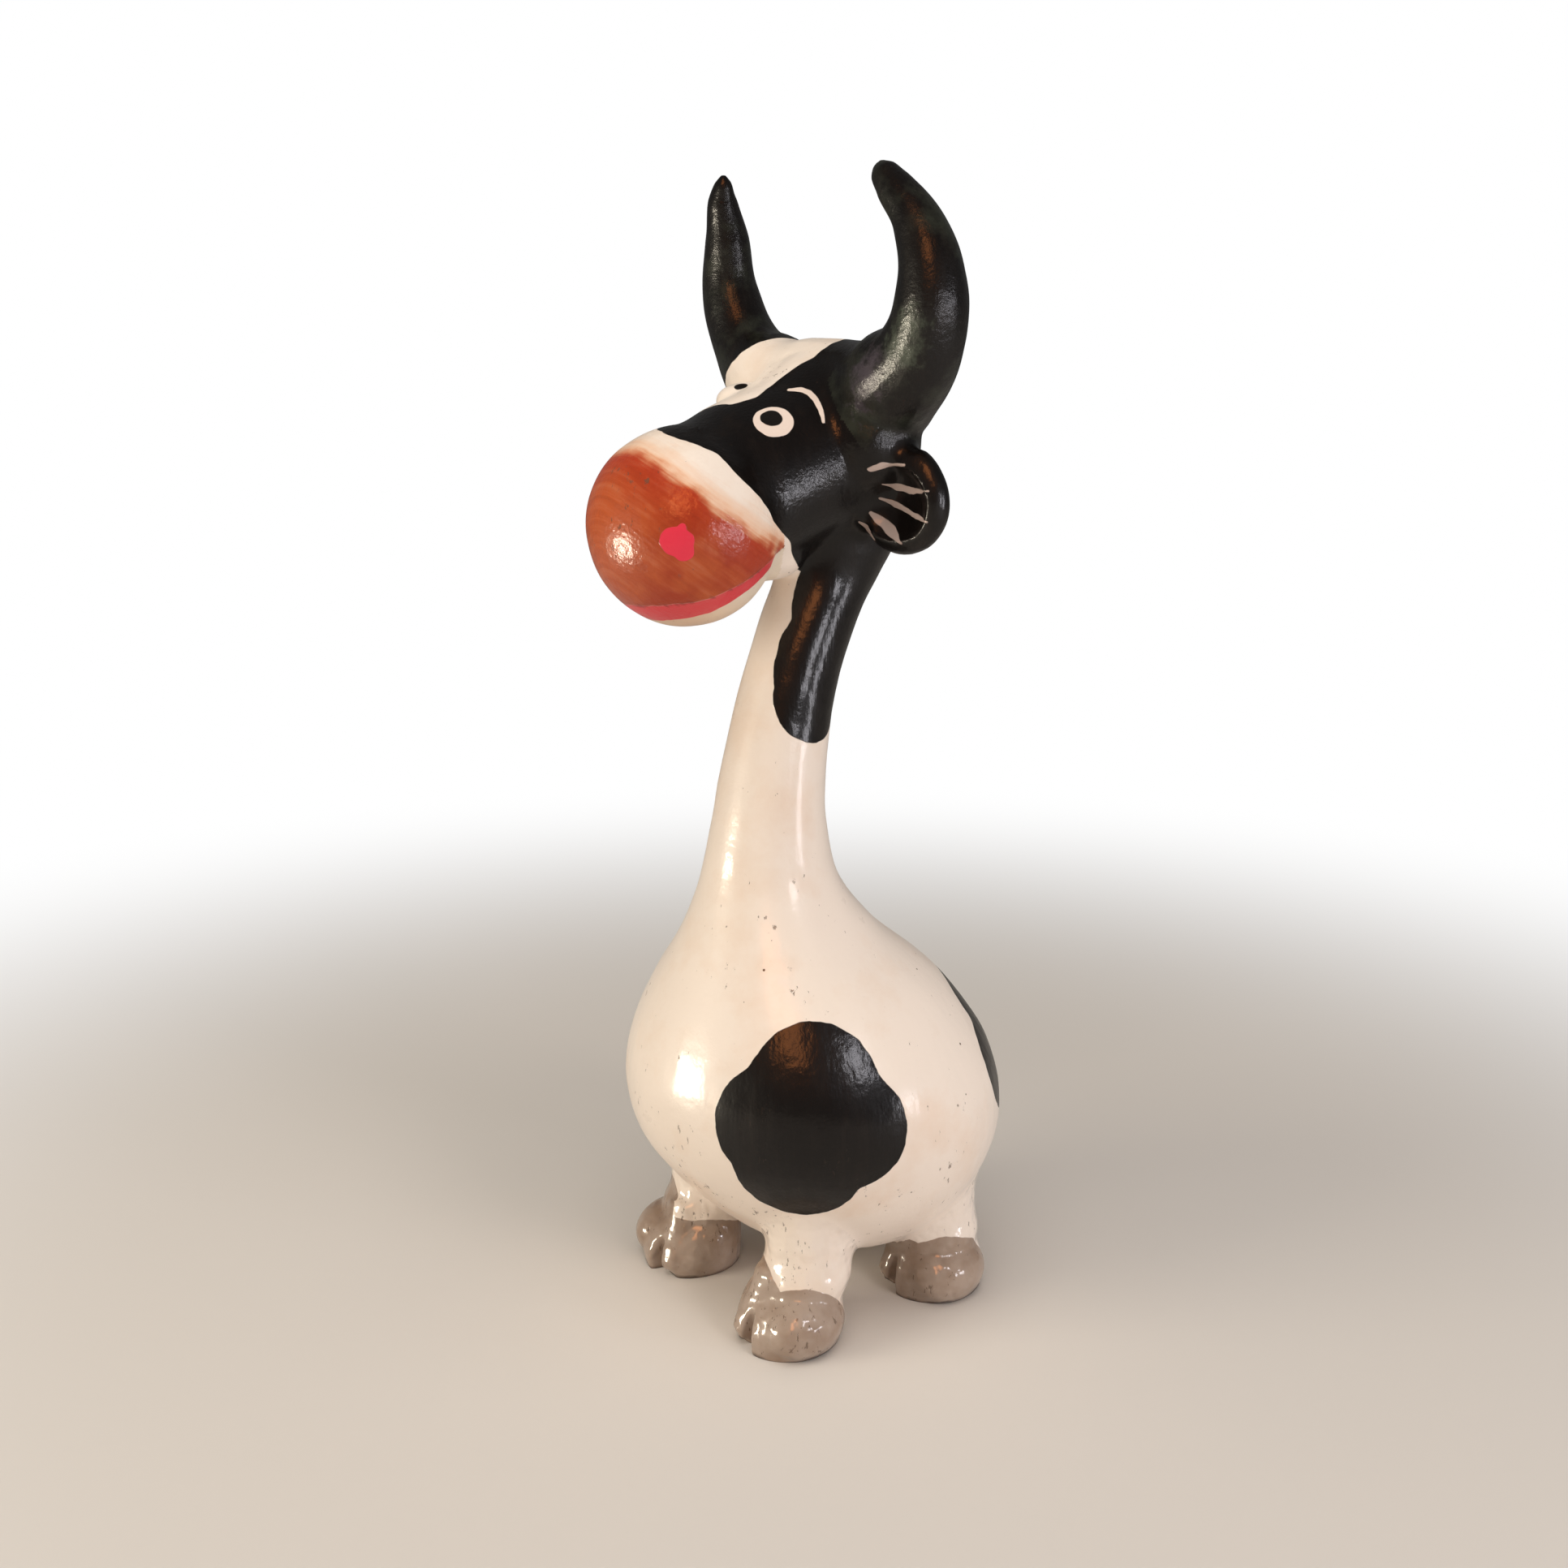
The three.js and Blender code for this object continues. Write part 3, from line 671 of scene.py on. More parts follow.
# The left eye is on black, so its white, pupil and brow all show. The right one is painted higher, on the
# white of the forehead, and only its dark pupil and brow show.
EYE_WHITE = [(15.4, -20.65, 240.8, 4.45), (16, -19.75, 240.8, 4.45)]
PUPIL = [(14.9, -20.6, 241.6, 2.4), (15.3, -20, 241.6, 2.4)]
RIGHT_PUPIL = [(-7.6, -14.4, 248, 1.9)]
BROW = [
    (10.1, -11.8, 247.6, 0.65), (12, -9.9, 247.6, 0.8), (14.2, -8.6, 246.8, 0.85), (16.4, -8.2, 245.1, 0.8),
    (18.6, -8.3, 242.6, 0.6), (20.2, -8.7, 239.9, 0.25),
]
RIGHT_BROW = [(-x, y, z, wide) for x, y, z, wide in BROW[2:]]

# The marks that are the same on both sides of the head, for the left side.
NOSTRIL = [
    (19.4, -50.9, 212.9, 3.3), (20.5, -48.9, 210.3, 2.4), (20.7, -48.8, 213, 2.2), (20.5, -49.3, 216.1, 0.9),
]
EAR_LINES = [
    [(27.2, 0.2, 228.5, 0.3), (29.7, 2.8, 229.6, 0.75), (33.9, 5.5, 229.7, 0.3)],
    [(26.7, 5, 224.8, 0.3), (27.7, 8.3, 224.2, 0.9), (32.6, 9.5, 223.4, 0.9), (39.9, 8.3, 223.6, 0.3)],
    [(23.8, 6.3, 221.3, 0.45), (26.8, 9.1, 219.8, 0.7), (32, 10.1, 217.6, 0.65), (39, 8.7, 216.2, 0.3)],
    [(21.9, 5, 217.7, 0.4), (23.5, 6.6, 216.1, 1), (26.3, 7.6, 213.8, 1.2), (30.7, 7.5, 210.7, 0.4)],
    [(18.9, 3.7, 215.2, 0.3), (20.6, 4.5, 214, 0.8), (22.3, 5.6, 211.3, 0.6)],
]

# Depth counts for less in the ears, because the brush followed their hollow.
EAR_LINE_DEPTH = 0.45

# The wash of the muzzle ends on a plane in |x|, y and z that slopes to the rear and down: the plane, the way
# that the cloth was drawn along it, the dabs at the mouth's corners, and how far back the lip goes.
WASH_EDGE = (0.2553, 0.5269, 0.8106)
WASH_EDGE_FAR = 164.1
WASH_DRAWN = (0.708, 0.484, -0.511)
MOUTH_CORNER = [(18.8, -21, 208.6, 4), (21.8, -25.5, 209.8, 3.6), (24, -30.5, 209.8, 4.6)]
MOUTH_END = -21


def slipped_clay(name):
    """A new material of low-fired clay under cream slip, as the layers of paint over it need it."""
    material = bpy.data.materials.new(name)
    material.use_nodes = True
    tree = material.node_tree
    tree.nodes.clear()
    where = add(tree, "TexCoord").node.outputs["Object"]
    place = add(tree, "VectorMath", {0: where, "Scale": 1 / MM}, operation="SCALE")
    sides = add(tree, "SeparateXYZ", {0: place}).node.outputs
    mirrored = add(tree, "Math", {0: sides[0]}, operation="ABSOLUTE")
    both_sides = add(tree, "CombineXYZ", {0: mirrored, 1: sides[1], 2: sides[2]})

    # The brush wavers by about 0.3 mm over 5 mm.
    shake = add(tree, "TexNoise", {"Vector": place, "Scale": 1 / 5, "Detail": 2.0})
    waver = add(tree, "Math", {0: shake, 1: 1.2, 2: -0.6}, operation="MULTIPLY_ADD")

    # In patches 25 mm across the slip is thin, and the warm clay shows through.
    clouds = add(tree, "TexNoise", {"Vector": place, "Scale": 1 / 25, "Detail": 5.0, "Roughness": 0.6})
    thin = add(tree, "MapRange", {0: clouds, 1: 0.48, 2: 0.72, 3: 0.0, 4: 0.6})
    paint = add(tree, "Mix", {0: thin, 6: colour("F6E9DC"), 7: colour("EBD1BA")}, data_type="RGBA")
    rough = add(tree, "MapRange", {0: clouds, 1: 0.3, 2: 0.7, 3: 0.27, 4: 0.42})

    # Pin-holes 0.4 to 0.9 mm across, one in every 7 mm or so.
    cells = add(tree, "TexVoronoi", {"Vector": place, "Scale": 1 / 7, "Randomness": 1.0}).node.outputs
    chance = add(tree, "SeparateColor", {0: cells["Color"]})
    size = add(tree, "MapRange", {0: chance, 1: 0.6, 2: 1.0, 3: 0.0, 4: 0.05})
    edge = add(tree, "Math", {0: cells["Distance"], 1: size}, operation="SUBTRACT")
    holes = add(tree, "MapRange", {0: edge, 1: -0.012, 2: 0.006, 3: 1.0, 4: 0.0})

    # Short drag marks, 0.5 by 3 mm, crowded together in a few places and mostly low on the belly.
    leaning = add(tree, "Mapping", {"Vector": place, "Rotation": (0.5, 0.4, 0.0), "Scale": (1.0, 1.0, 0.38)})
    marks = add(tree, "TexNoise", {"Vector": leaning, "Scale": 1 / 1.5, "Detail": 3.0, "Roughness": 0.7})
    crowd = add(tree, "TexNoise", {"Vector": place, "Scale": 1 / 16, "Detail": 2.0})
    low = add(tree, "MapRange", {0: sides[2], 1: 20.0, 2: 95.0, 3: 0.17, 4: -0.03})
    crowded = add(tree, "Math", {0: crowd, 1: low}, operation="ADD")
    crowded = add(tree, "MapRange", {0: crowded, 1: 0.56, 2: 0.68, 3: 0.0, 4: 0.09})
    marks = add(tree, "Math", {0: marks, 1: crowded}, operation="ADD")
    scratches = add(tree, "MapRange", {0: marks, 1: 0.705, 2: 0.75, 3: 0.0, 4: 0.7})
    dirt = add(tree, "Math", {0: holes, 1: scratches}, operation="MAXIMUM")

    # Height in mm: upright brush lines 1.6 mm apart, ripples 3.5 mm apart and wrinkles 0.9 mm apart.
    drawn = add(tree, "VectorMath", {0: place, 1: (1.0, 1.0, 0.09)}, operation="MULTIPLY")
    lines = add(tree, "TexNoise", {"Vector": drawn, "Scale": 1 / 1.6, "Detail": 3.0})
    height = add(tree, "Math", {0: lines, 1: 0.035}, operation="MULTIPLY")
    ripple = add(tree, "TexNoise", {"Vector": place, "Scale": 1 / 3.5, "Detail": 4.0})
    height = add(tree, "Math", {0: ripple, 1: 0.12, 2: height}, operation="MULTIPLY_ADD")
    wrinkle = add(tree, "TexNoise", {"Vector": place, "Scale": 1 / 0.9, "Detail": 2.0})
    height = add(tree, "Math", {0: wrinkle, 1: 0.03, 2: height}, operation="MULTIPLY_ADD")
    return SimpleNamespace(
        material=material, tree=tree, place=place, sides=sides, both_sides=both_sides, waver=waver,
        drawn=drawn, paint=paint, rough=rough, dirt=dirt, height=height,
    )


def lay_on(clay, share, paint, thickness=0.0):
    """A layer of paint over part of the clay, which stands proud by its thickness in mm."""
    clay.paint = add(clay.tree, "Mix", {0: share, 6: clay.paint, 7: paint}, data_type="RGBA")
    raised = {0: share, 1: thickness, 2: clay.height}
    clay.height = add(clay.tree, "Math", raised, operation="MULTIPLY_ADD")


def wipe_on_wash(clay):
    """The orange wash of the muzzle. A cloth wiped it on, so its upper edge is soft and hairy, it is reddest
    behind that edge, and over the front it is lighter, partly worn thin and scratched and partly a painted
    highlight.
    """
    tree = clay.tree
    x, y, z = clay.sides

    # |x| is rounded off within 4 mm of the middle, so that the edge has no corner there.
    rounded = add(tree, "Math", {0: x, 1: x}, operation="MULTIPLY")
    rounded = add(tree, "Math", {0: rounded, 1: 16.0}, operation="ADD")
    rounded = add(tree, "Math", {0: rounded, 1: 0.5}, operation="POWER")
    wiped = add(tree, "CombineXYZ", {0: rounded, 1: y, 2: z})
    beyond = add(tree, "VectorMath", {0: wiped, 1: WASH_EDGE}, operation="DOT_PRODUCT")
    beyond = add(tree, "Math", {0: beyond, 1: WASH_EDGE_FAR}, operation="SUBTRACT")
    along = add(tree, "VectorMath", {0: wiped, 1: WASH_DRAWN}, operation="DOT_PRODUCT")
    along = add(tree, "Math", {0: along, 1: 0.12}, operation="MULTIPLY")
    drawn_out = add(tree, "CombineXYZ", {0: beyond, 1: along})

    # The cloth's threads, 1.3 mm apart, and blotches 9 mm across, each shift the edge by up to 2.5 mm.
    drag = add(tree, "TexNoise", {"Vector": drawn_out, "Scale": 1 / 1.3, "Detail": 5.0})
    blotch = add(tree, "TexNoise", {"Vector": clay.place, "Scale": 1 / 9, "Detail": 5.0})
    uneven = add(tree, "Math", {0: blotch, 1: 5.0, 2: -2.5}, operation="MULTIPLY_ADD")
    hairy = add(tree, "Math", {0: drag, 1: 5.0, 2: -2.5}, operation="MULTIPLY_ADD")
    corner = dabs(tree, clay.both_sides, MOUTH_CORNER)
    edge = add(tree, "Math", {0: beyond, 1: corner}, operation="MINIMUM")
    edge = add(tree, "Math", {0: edge, 1: uneven}, operation="ADD")
    edge = add(tree, "Math", {0: edge, 1: hairy}, operation="ADD")
    wash = {0: edge, 1: -3.2, 2: 1.4, 3: 1.0, 4: 0.0}
    wash = add(tree, "MapRange", wash, interpolation_type="SMOOTHERSTEP")

    fringe = add(tree, "MapRange", {0: edge, 1: -1.5, 2: 4.5, 3: 0.75, 4: 0.0})
    lay_on(clay, fringe, colour("E9A566"))
    # Lighter over the front of the muzzle: partly worn thin, partly a painted highlight where the lamps
    # glint on it.
    front = add(tree, "MapRange", {0: y, 1: -62.0, 2: -50.0, 3: 0.75, 4: 0.0})
    thinned = add(tree, "MapRange", {0: blotch, 1: 0.42, 2: 0.64, 3: 0.0, 4: 0.5})
    worn_and_highlit = add(tree, "Math", {0: front, 1: thinned}, operation="MAXIMUM")
    reddest = add(tree, "MapRange", {0: edge, 1: -12.0, 2: -2.0, 3: 0.0, 4: 0.85})
    bleached = add(tree, "MapRange", {0: edge, 1: -2.5, 2: 1.0, 3: 0.0, 4: 0.8})
    streaked = add(tree, "MapRange", {0: drag, 1: 0.48, 2: 0.8, 3: 0.0, 4: 0.35})
    rubbed = add(tree, "MapRange", {0: drag, 1: 0.5, 2: 0.3, 3: 0.0, 4: 0.35})
    rubbed = add(tree, "Math", {0: rubbed, 1: worn_and_highlit}, operation="MULTIPLY")
    orange = colour("A63C1F")
    tints = [(worn_and_highlit, "CC6634"), (reddest, "B0381C"), (bleached, "D86A28")]
    for share, tint in tints + [(streaked, "7A2F18"), (rubbed, "DA9A74")]:
        orange = add(tree, "Mix", {0: share, 6: orange, 7: colour(tint)}, data_type="RGBA")
    lay_on(clay, wash, orange)

    # The cloth left fine scratches along its way, and a skin with pits 1.8 mm apart.
    scratched = add(tree, "Math", {0: drag, 1: 0.1, 2: clay.height}, operation="MULTIPLY_ADD")
    pitted = add(tree, "TexNoise", {"Vector": clay.place, "Scale": 1 / 1.8, "Detail": 5.0})
    clay.height = add(tree, "Math", {0: pitted, 1: 0.16, 2: scratched}, operation="MULTIPLY_ADD")
    clay.hairy = hairy


def brush_on_black(clay, patches, tail=False, face=False, horns=False):
    """Black paint in round dabs, thin enough that its upright strokes show as a brown haze."""
    tree = clay.tree
    reaches = [dabs(tree, clay.place, spots) for spots in patches]
    if tail:
        reaches.append(stroke(tree, clay.place, TAIL_STROKE))
    blackened = covered(tree, reaches, clay.waver)
    haze = add(tree, "TexNoise", {"Vector": clay.drawn, "Scale": 1 / 4.5, "Detail": 5.0, "Roughness": 0.65})
    hazy = add(tree, "MapRange", {0: haze, 1: 0.5, 2: 0.8, 3: 0.0, 4: 0.3})
    ink = add(tree, "Mix", {0: hazy, 6: colour("0C0908"), 7: colour("261E18")}, data_type="RGBA")

    if face or horns:
        # Blotches 3 mm across give bloom and scuffs their ragged edges, and the skin its lumps.
        blotches = {"Vector": clay.place, "Scale": 1 / 3, "Detail": 5.0, "Roughness": 0.7}
        blotches = add(tree, "TexNoise", blotches)
        ragged = add(tree, "Math", {0: blotches, 1: 14.0, 2: -6.0}, operation="MULTIPLY_ADD")
        if horns:
            bloom = {"Vector": clay.place, "Scale": 1 / 13, "Detail": 6.0, "Roughness": 0.62}
            bloom = add(tree, "TexNoise", bloom)
            bloomed = add(tree, "MapRange", {0: bloom, 1: 0.5, 2: 0.72, 3: 0.0, 4: 0.3})
            ink = add(tree, "Mix", {0: bloomed, 6: ink, 7: colour("4C5244")}, data_type="RGBA")
            # A greenish patch at the root of the left horn: bloom, and partly a painted reflection of the
            # window in front.
            green_bloom_and_reflection = covered(tree, [dabs(tree, clay.place, BLOOM_AND_REFLECTION)], ragged, 3.0)
            ink = add(tree, "Mix", {0: green_bloom_and_reflection, 6: ink, 7: colour("454C40")}, data_type="RGBA")
        scuffed = covered(tree, [dabs(tree, clay.place, SCUFF)], ragged, 2.5)
        ink = add(tree, "Mix", {0: scuffed, 6: ink, 7: colour("453E45")}, data_type="RGBA")
        lumpy = {0: blotches, 1: 0.22 if horns else 0.08, 2: clay.height}
        clay.height = add(tree, "Math", lumpy, operation="MULTIPLY_ADD")

    # The paint stands 0.06 mm proud, with bristle marks 0.9 mm apart, upright ones or, on the head, dabbed.
    bristles = {"Vector": clay.place if face or horns else clay.drawn, "Scale": 1 / 0.9, "Detail": 4.0}
    bristles = add(tree, "TexNoise", bristles)
    thickness = {0: bristles, 1: 0.08 if face else 0.05, 2: 0.06}
    thickness = add(tree, "Math", thickness, operation="MULTIPLY_ADD")
    lay_on(clay, blackened, ink, thickness)
    ink_rough = add(tree, "MapRange", {0: haze, 1: 0.35, 2: 0.7, 3: 0.4, 4: 0.55})
    clay.rough = add(tree, "Mix", {0: blackened, 2: clay.rough, 3: ink_rough}, data_type="FLOAT")
    clean = add(tree, "Math", {0: blackened, 1: -0.92, 2: 1.0}, operation="MULTIPLY_ADD")
    clay.dirt = add(tree, "Math", {0: clay.dirt, 1: clean}, operation="MULTIPLY")


def paint_eyes(clay):
    """Eyes and brows, in thick paint that stands 0.09 mm proud."""
    tree = clay.tree
    left = add(tree, "Math", {0: clay.sides[0], 1: 0.0}, operation="GREATER_THAN")
    light = colour("EBD9CC")
    dark = colour("15110E")
    eye = covered(tree, [dabs(tree, clay.place, EYE_WHITE)], clay.waver, 0.1)
    pupils = [dabs(tree, clay.place, spots) for spots in (PUPIL, RIGHT_PUPIL)]
    pupil = covered(tree, pupils, clay.waver, 0.1)
    brows = [stroke(tree, clay.place, points) for points in (BROW, RIGHT_BROW)]
    brow = covered(tree, brows, clay.waver, 0.1)
    brow_paint = add(tree, "Mix", {0: left, 6: dark, 7: light}, data_type="RGBA")
    for share, paint in ((eye, light), (pupil, dark), (brow, brow_paint)):
        lay_on(clay, share, paint, 0.09)


def paint_ear_lines(clay):
    """Five strokes of greyish pink in each ear."""
    tree = clay.tree
    depth = (1, EAR_LINE_DEPTH, 1)
    flat = add(tree, "VectorMath", {0: clay.both_sides, 1: depth}, operation="MULTIPLY")
    reaches = []
    for points in EAR_LINES:
        reaches.append(stroke(tree, flat, [(x, y * EAR_LINE_DEPTH, z, wide) for x, y, z, wide in points]))
    drawn = covered(tree, reaches, clay.waver, 0.1)
    lay_on(clay, drawn, colour("C3AFA6"), 0.1)


def paint_mouth(clay):
    """A pale jaw, a pink lip, brown in the groove of the mouth that is partly painted shade, and two pink
    nostrils.
    """
    tree = clay.tree
    runs = []
    for at, climb in MOUTH:
        facing = mouth_normal(climb)
        run = add(tree, "VectorMath", {0: clay.place, 1: facing}, operation="DOT_PRODUCT")
        runs.append(add(tree, "Math", {0: run, 1: facing.dot(Vector(at))}, operation="SUBTRACT"))
    under = add(tree, "Math", {0: runs[0], 1: runs[1], 2: 2.0}, operation="SMOOTH_MIN")
    jaw = covered(tree, [under], clay.waver, 0.15)
    lowest = add(tree, "MapRange", {0: clay.sides[2], 1: 191.0, 2: 199.0, 3: 0.55, 4: 0.0})
    jaw_paint = add(tree, "Mix", {0: lowest, 6: colour("EEDFCB"), 7: colour("C98B52")}, data_type="RGBA")
    lay_on(clay, jaw, jaw_paint)

    # The lip is a band of pink under the mouth line, 5 mm wide at the front and 3 mm at the corners.
    narrow = add(tree, "MapRange", {0: clay.sides[1], 1: -46.0, 2: -22.0, 3: -5.0, 4: -3.0})
    above = add(tree, "Math", {0: under, 1: -1.0, 2: narrow}, operation="MULTIPLY_ADD")
    past_end = add(tree, "Math", {0: clay.sides[1], 1: MOUTH_END}, operation="SUBTRACT")
    band = add(tree, "Math", {0: under, 1: above}, operation="MAXIMUM")
    band = add(tree, "Math", {0: band, 1: past_end}, operation="MAXIMUM")
    lay_on(clay, covered(tree, [band], clay.waver, 0.15), colour("D9434A"))

    # Brown in the groove of the mouth, in places: wash that has run in, and painted shade in the crease.
    groove_wash_and_shade = add(tree, "Math", {0: under}, operation="ABSOLUTE")
    groove_wash_and_shade = add(tree, "Math", {0: groove_wash_and_shade, 1: clay.hairy}, operation="ADD")
    groove_wash_and_shade = add(tree, "MapRange", {0: groove_wash_and_shade, 1: -0.6, 2: 0.4, 3: 0.75, 4: 0.0})
    lay_on(clay, groove_wash_and_shade, colour("7E2A1C"))
    nostril = covered(tree, [dabs(tree, clay.both_sides, NOSTRIL, 1.5)], clay.waver, 0.1)
    lay_on(clay, nostril, colour("EA3A50"), 0.1)


def paint_hooves(clay):
    """Warm grey over the toes and round each heel, stained brown, and dark where it meets the ground."""
    tree = clay.tree
    z = clay.sides[2]

    # The grey, brown stains in it 9 mm across, and darker over about the lowest 1 mm, with a ragged edge.
    low = add(tree, "Math", {0: z, 1: HEEL_GREY}, operation="SUBTRACT")
    grey = covered(tree, [low] + [dabs(tree, clay.place, toes, 0.5) for toes in HOOF_GREY], clay.waver)
    stain = add(tree, "TexNoise", {"Vector": clay.place, "Scale": 1 / 9, "Detail": 5.0})
    stained = add(tree, "MapRange", {0: stain, 1: 0.4, 2: 0.7, 3: 0.0, 4: 0.7})
    horn = add(tree, "Mix", {0: stained, 6: colour("AF9C8D"), 7: colour("8A6F59")}, data_type="RGBA")
    # Darker brown within about 1 mm of the ground, where the hoof meets the floor.
    ground_dark = add(tree, "Math", {0: stain, 1: 5.0, 2: z}, operation="MULTIPLY_ADD")
    ground_dark = add(tree, "MapRange", {0: ground_dark, 1: 2.6, 2: 3.6, 3: 0.85, 4: 0.0})
    horn = add(tree, "Mix", {0: ground_dark, 6: horn, 7: colour("3F2E24")}, data_type="RGBA")
    lay_on(clay, grey, horn, 0.06)

    # The clay of the toes is lumpy, 4 mm from one lump to the next.
    lumps = add(tree, "TexNoise", {"Vector": clay.place, "Scale": 1 / 4, "Detail": 1.0})
    clay.height = add(tree, "Math", {0: lumps, 1: 0.8, 2: clay.height}, operation="MULTIPLY_ADD")


def lacquer(clay, amount=0.36, roughness=0.17):
    """Dirt that sits deep in holes and scratches, then clear lacquer over everything."""
    lay_on(clay, clay.dirt, colour("66503F"), -0.12)
    bump = add(clay.tree, "Bump", {"Strength": 1.0, "Distance": MM, "Height": clay.height})
    shader = {
        "Base Color": clay.paint, "Roughness": clay.rough, "IOR": 1.5, "Specular IOR Level": 0.12,
        "Coat Weight": amount, "Coat Roughness": roughness, "Normal": bump, "Coat Normal": bump,
    }
    shader = add(clay.tree, "BsdfPrincipled", shader)
    add(clay.tree, "OutputMaterial", {"Surface": shader})
    return clay.material


def body_finish():
    """Low-fired earthenware in cream slip, brushed black and lacquered: satin, pin-holed and scratched."""
    clay = slipped_clay("earthenware, slipped and lacquered")
    brush_on_black(clay, [FLANK_LEFT, FLANK_RIGHT, RUMP], tail=True)
    return lacquer(clay)


def neck_finish():
    """The same slip and lacquer, with the black that runs down from the cheek: sharp-edged on the cream."""
    clay = slipped_clay("earthenware of the neck, slipped")
    brush_on_black(clay, [NECK, FACE_LEFT + NAPE])
    return lacquer(clay)


def skull_finish():
    """Black on the left and cream on the right, dabbed on and more polished, so its glints are grainy."""
    clay = slipped_clay("earthenware of the head, brush painted")
    patches = [FACE_LEFT + NAPE, NECK, RIGHT_EAR_SPOT, LEFT_HORN_SPOT, RIGHT_HORN_SPOT]
    brush_on_black(clay, patches, face=True)
    paint_eyes(clay)
    return lacquer(clay, roughness=0.12)


def ear_finish():
    """Black all over with pinkish strokes in the hollow, glossy at the rim."""
    clay = slipped_clay("earthenware of the ears, brushed black")
    brush_on_black(clay, [FACE_LEFT + NAPE, RIGHT_EAR_SPOT, LEFT_EAR_SPOT])
    paint_ear_lines(clay)
    return lacquer(clay)


def horn_finish():
    """Black lacquer that has bloomed green and been scuffed, with a green painted reflection at the root of
    the left horn: softer glints, and cloudy in places.
    """
    clay = slipped_clay("earthenware of the horns, black lacquer")
    brush_on_black(clay, [FACE_LEFT + NAPE, LEFT_HORN_SPOT, RIGHT_HORN_SPOT], horns=True)
    return lacquer(clay, roughness=0.2)


def muzzle_finish():
    """Orange wash, wiped over the slip and burnished: streaky and pitted, so that its glint is uneven."""
    clay = slipped_clay("earthenware of the muzzle, wiped wash")
    wipe_on_wash(clay)
    brush_on_black(clay, [FACE_LEFT])
    paint_mouth(clay)
    return lacquer(clay)


def leg_finish():
    """Slip above, and warm grey in thick lacquer over the lumpy hooves, which gives them wet glints."""
    clay = slipped_clay("earthenware of the legs, brushed grey")
    brush_on_black(clay, [FLANK_LEFT, FLANK_RIGHT])
    paint_hooves(clay)
    return lacquer(clay, amount=0.8, roughness=0.12)


def tail_finish():
    """Black all over, with the same upright bristle marks as the patch beside it."""
    clay = slipped_clay("earthenware of the tail, brushed black")
    brush_on_black(clay, [RUMP], tail=True)
    return lacquer(clay)


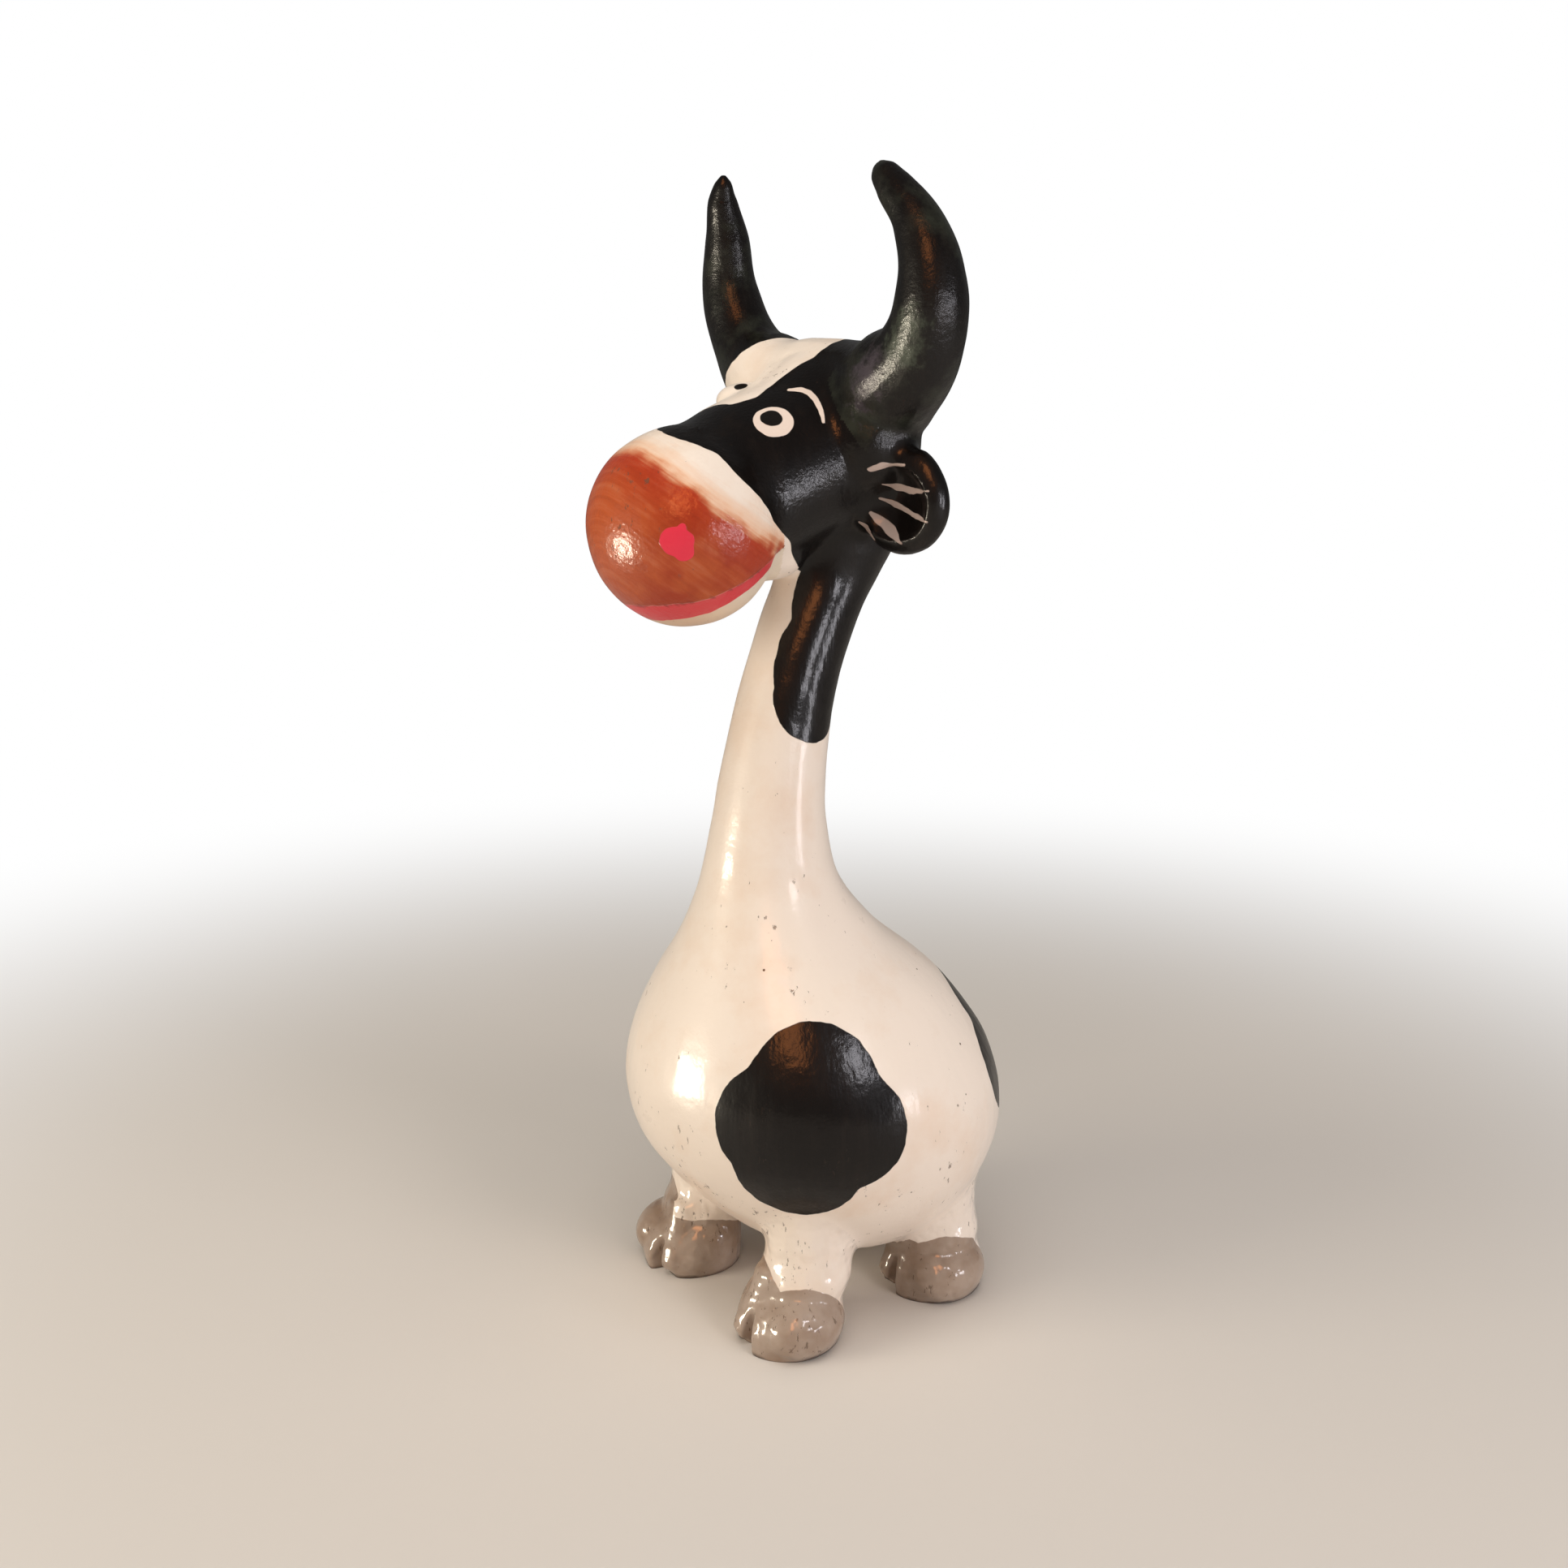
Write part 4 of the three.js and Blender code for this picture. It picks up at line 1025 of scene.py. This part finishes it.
def floor_and_light():
    """A plain pale floor, a white room round it, soft boxes, and small windows that show in the lacquer."""
    clear_selection()
    bpy.ops.mesh.primitive_circle_add(vertices=64, radius=30, fill_type="NGON")
    floor = bpy.context.object
    floor.name = "floor"
    plain = bpy.data.materials.new("plain pale floor")
    plain.use_nodes = True
    tree = plain.node_tree
    tree.nodes.clear()
    card = add(tree, "BsdfPrincipled", {"Base Color": colour("E2DDD7"), "Roughness": 0.9})

    # From 0.14 to 0.65 m out, the card fades into the white of the room, so that no horizon shows.
    place = add(tree, "TexCoord").node.outputs["Object"]
    out = add(tree, "VectorMath", {0: place}, operation="LENGTH")
    faded = {0: out, 1: 0.14, 2: 0.65, 3: 0.0, 4: 1.0}
    faded = add(tree, "MapRange", faded, interpolation_type="SMOOTHERSTEP")
    seen = add(tree, "LightPath").node.outputs["Is Camera Ray"]
    faded = add(tree, "Math", {0: faded, 1: seen}, operation="MULTIPLY")
    white = add(tree, "Emission", {"Color": (1, 1, 1, 1), "Strength": 1.0})
    blended = add(tree, "MixShader", {0: faded, 1: card, 2: white})
    add(tree, "OutputMaterial", {"Surface": blended})
    floor.data.materials.append(plain)

    world = bpy.data.worlds.new("white room")
    world.use_nodes = True
    bpy.context.scene.world = world
    tree = world.node_tree
    tree.nodes.clear()
    # The world lights the object at 0.16, and the camera sees it at 1, as plain white.
    seen = add(tree, "LightPath").node.outputs["Is Camera Ray"]
    seen = add(tree, "Math", {0: seen, 1: 0.84, 2: 0.16}, operation="MULTIPLY_ADD")
    room = add(tree, "Background", {"Color": (1, 1, 1, 1), "Strength": seen})
    add(tree, "OutputWorld", {"Surface": room})

    # Name, place, size, watts and tint. The soft boxes are kept out of the gloss, and the windows that stand
    # near only show in it.
    middle = Vector((0, 0, 0.15))
    boxes = [
        ("window in front", (-0.16, -0.5, 0.05), (0.13, 0.16), 5, "FFF3DC"),
        ("window behind", (0.81, 0.39, 0.1), (0.14, 0.2), 1.8, "FBF8FF"),
        ("window at the side", (0.262, 0.004, 0.201), (0.05, 0.05), 0.17, "FBF8FF"),
        ("warm lamp", (0.58, -0.55, 0.68), (0.3, 0.36), 3, "FF9C58"),
        ("front", (-0.25, -1.0, 0.4), (0.5, 0.5), 5.4, "FFF3E0"),
        ("side", (0.86, 0.1, 0.54), (0.3, 0.3), 2.1, "FFF3EA"),
        ("ceiling", (0.2, -0.2, 1.1), (0.8, 0.8), 5.8, "FFF7EE"),
    ]
    for name, place, size, power, tint in boxes:
        clear_selection()
        bpy.ops.object.light_add(type="AREA", location=place)
        lamp = bpy.context.object
        lamp.name = name
        lamp.data.shape = "RECTANGLE"
        lamp.data.size, lamp.data.size_y = size
        lamp.data.energy = power
        lamp.data.color = colour(tint)[:3]
        lamp.rotation_euler = (middle - Vector(place)).to_track_quat("-Z", "Y").to_euler()
        lamp.visible_glossy = name not in ("ceiling", "front", "side")
        lamp.visible_diffuse = name not in ("window in front", "window at the side", "warm lamp")
        lamp.visible_camera = False


def camera():
    """The photograph's viewpoint: close by, to the left of the head and level with it, a little tipped."""
    data = bpy.data.cameras.new("camera")
    data.sensor_width = 36
    data.lens = 36.06
    viewer = bpy.data.objects.new("camera", data)
    bpy.context.scene.collection.objects.link(viewer)
    viewer.location = (0.3375, -0.2384, 0.24)

    # Tipped down 13 degrees from level, and turned 55.5 degrees from a look along +Y.
    viewer.rotation_euler = Euler((math.radians(90 - 13), 0, math.radians(55.5)))
    bpy.context.scene.camera = viewer


camera()
floor_and_light()
pieces = lower_pieces() | upper_pieces()

horns = horn_finish()
ears = ear_finish()
legs = leg_finish()
finishes = {
    "body": body_finish(), "neck": neck_finish(), "skull": skull_finish(), "muzzle": muzzle_finish(),
    "horn_left": horns, "horn_right": horns, "ear_left": ears, "ear_right": ears, "tail": tail_finish(),
}
for member, piece in pieces.items():
    piece.data.materials.clear()
    piece.data.materials.append(finishes.get(member, legs))
    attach(piece, "root")
    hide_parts(member)

bpy.context.scene.view_settings.view_transform = "Standard"
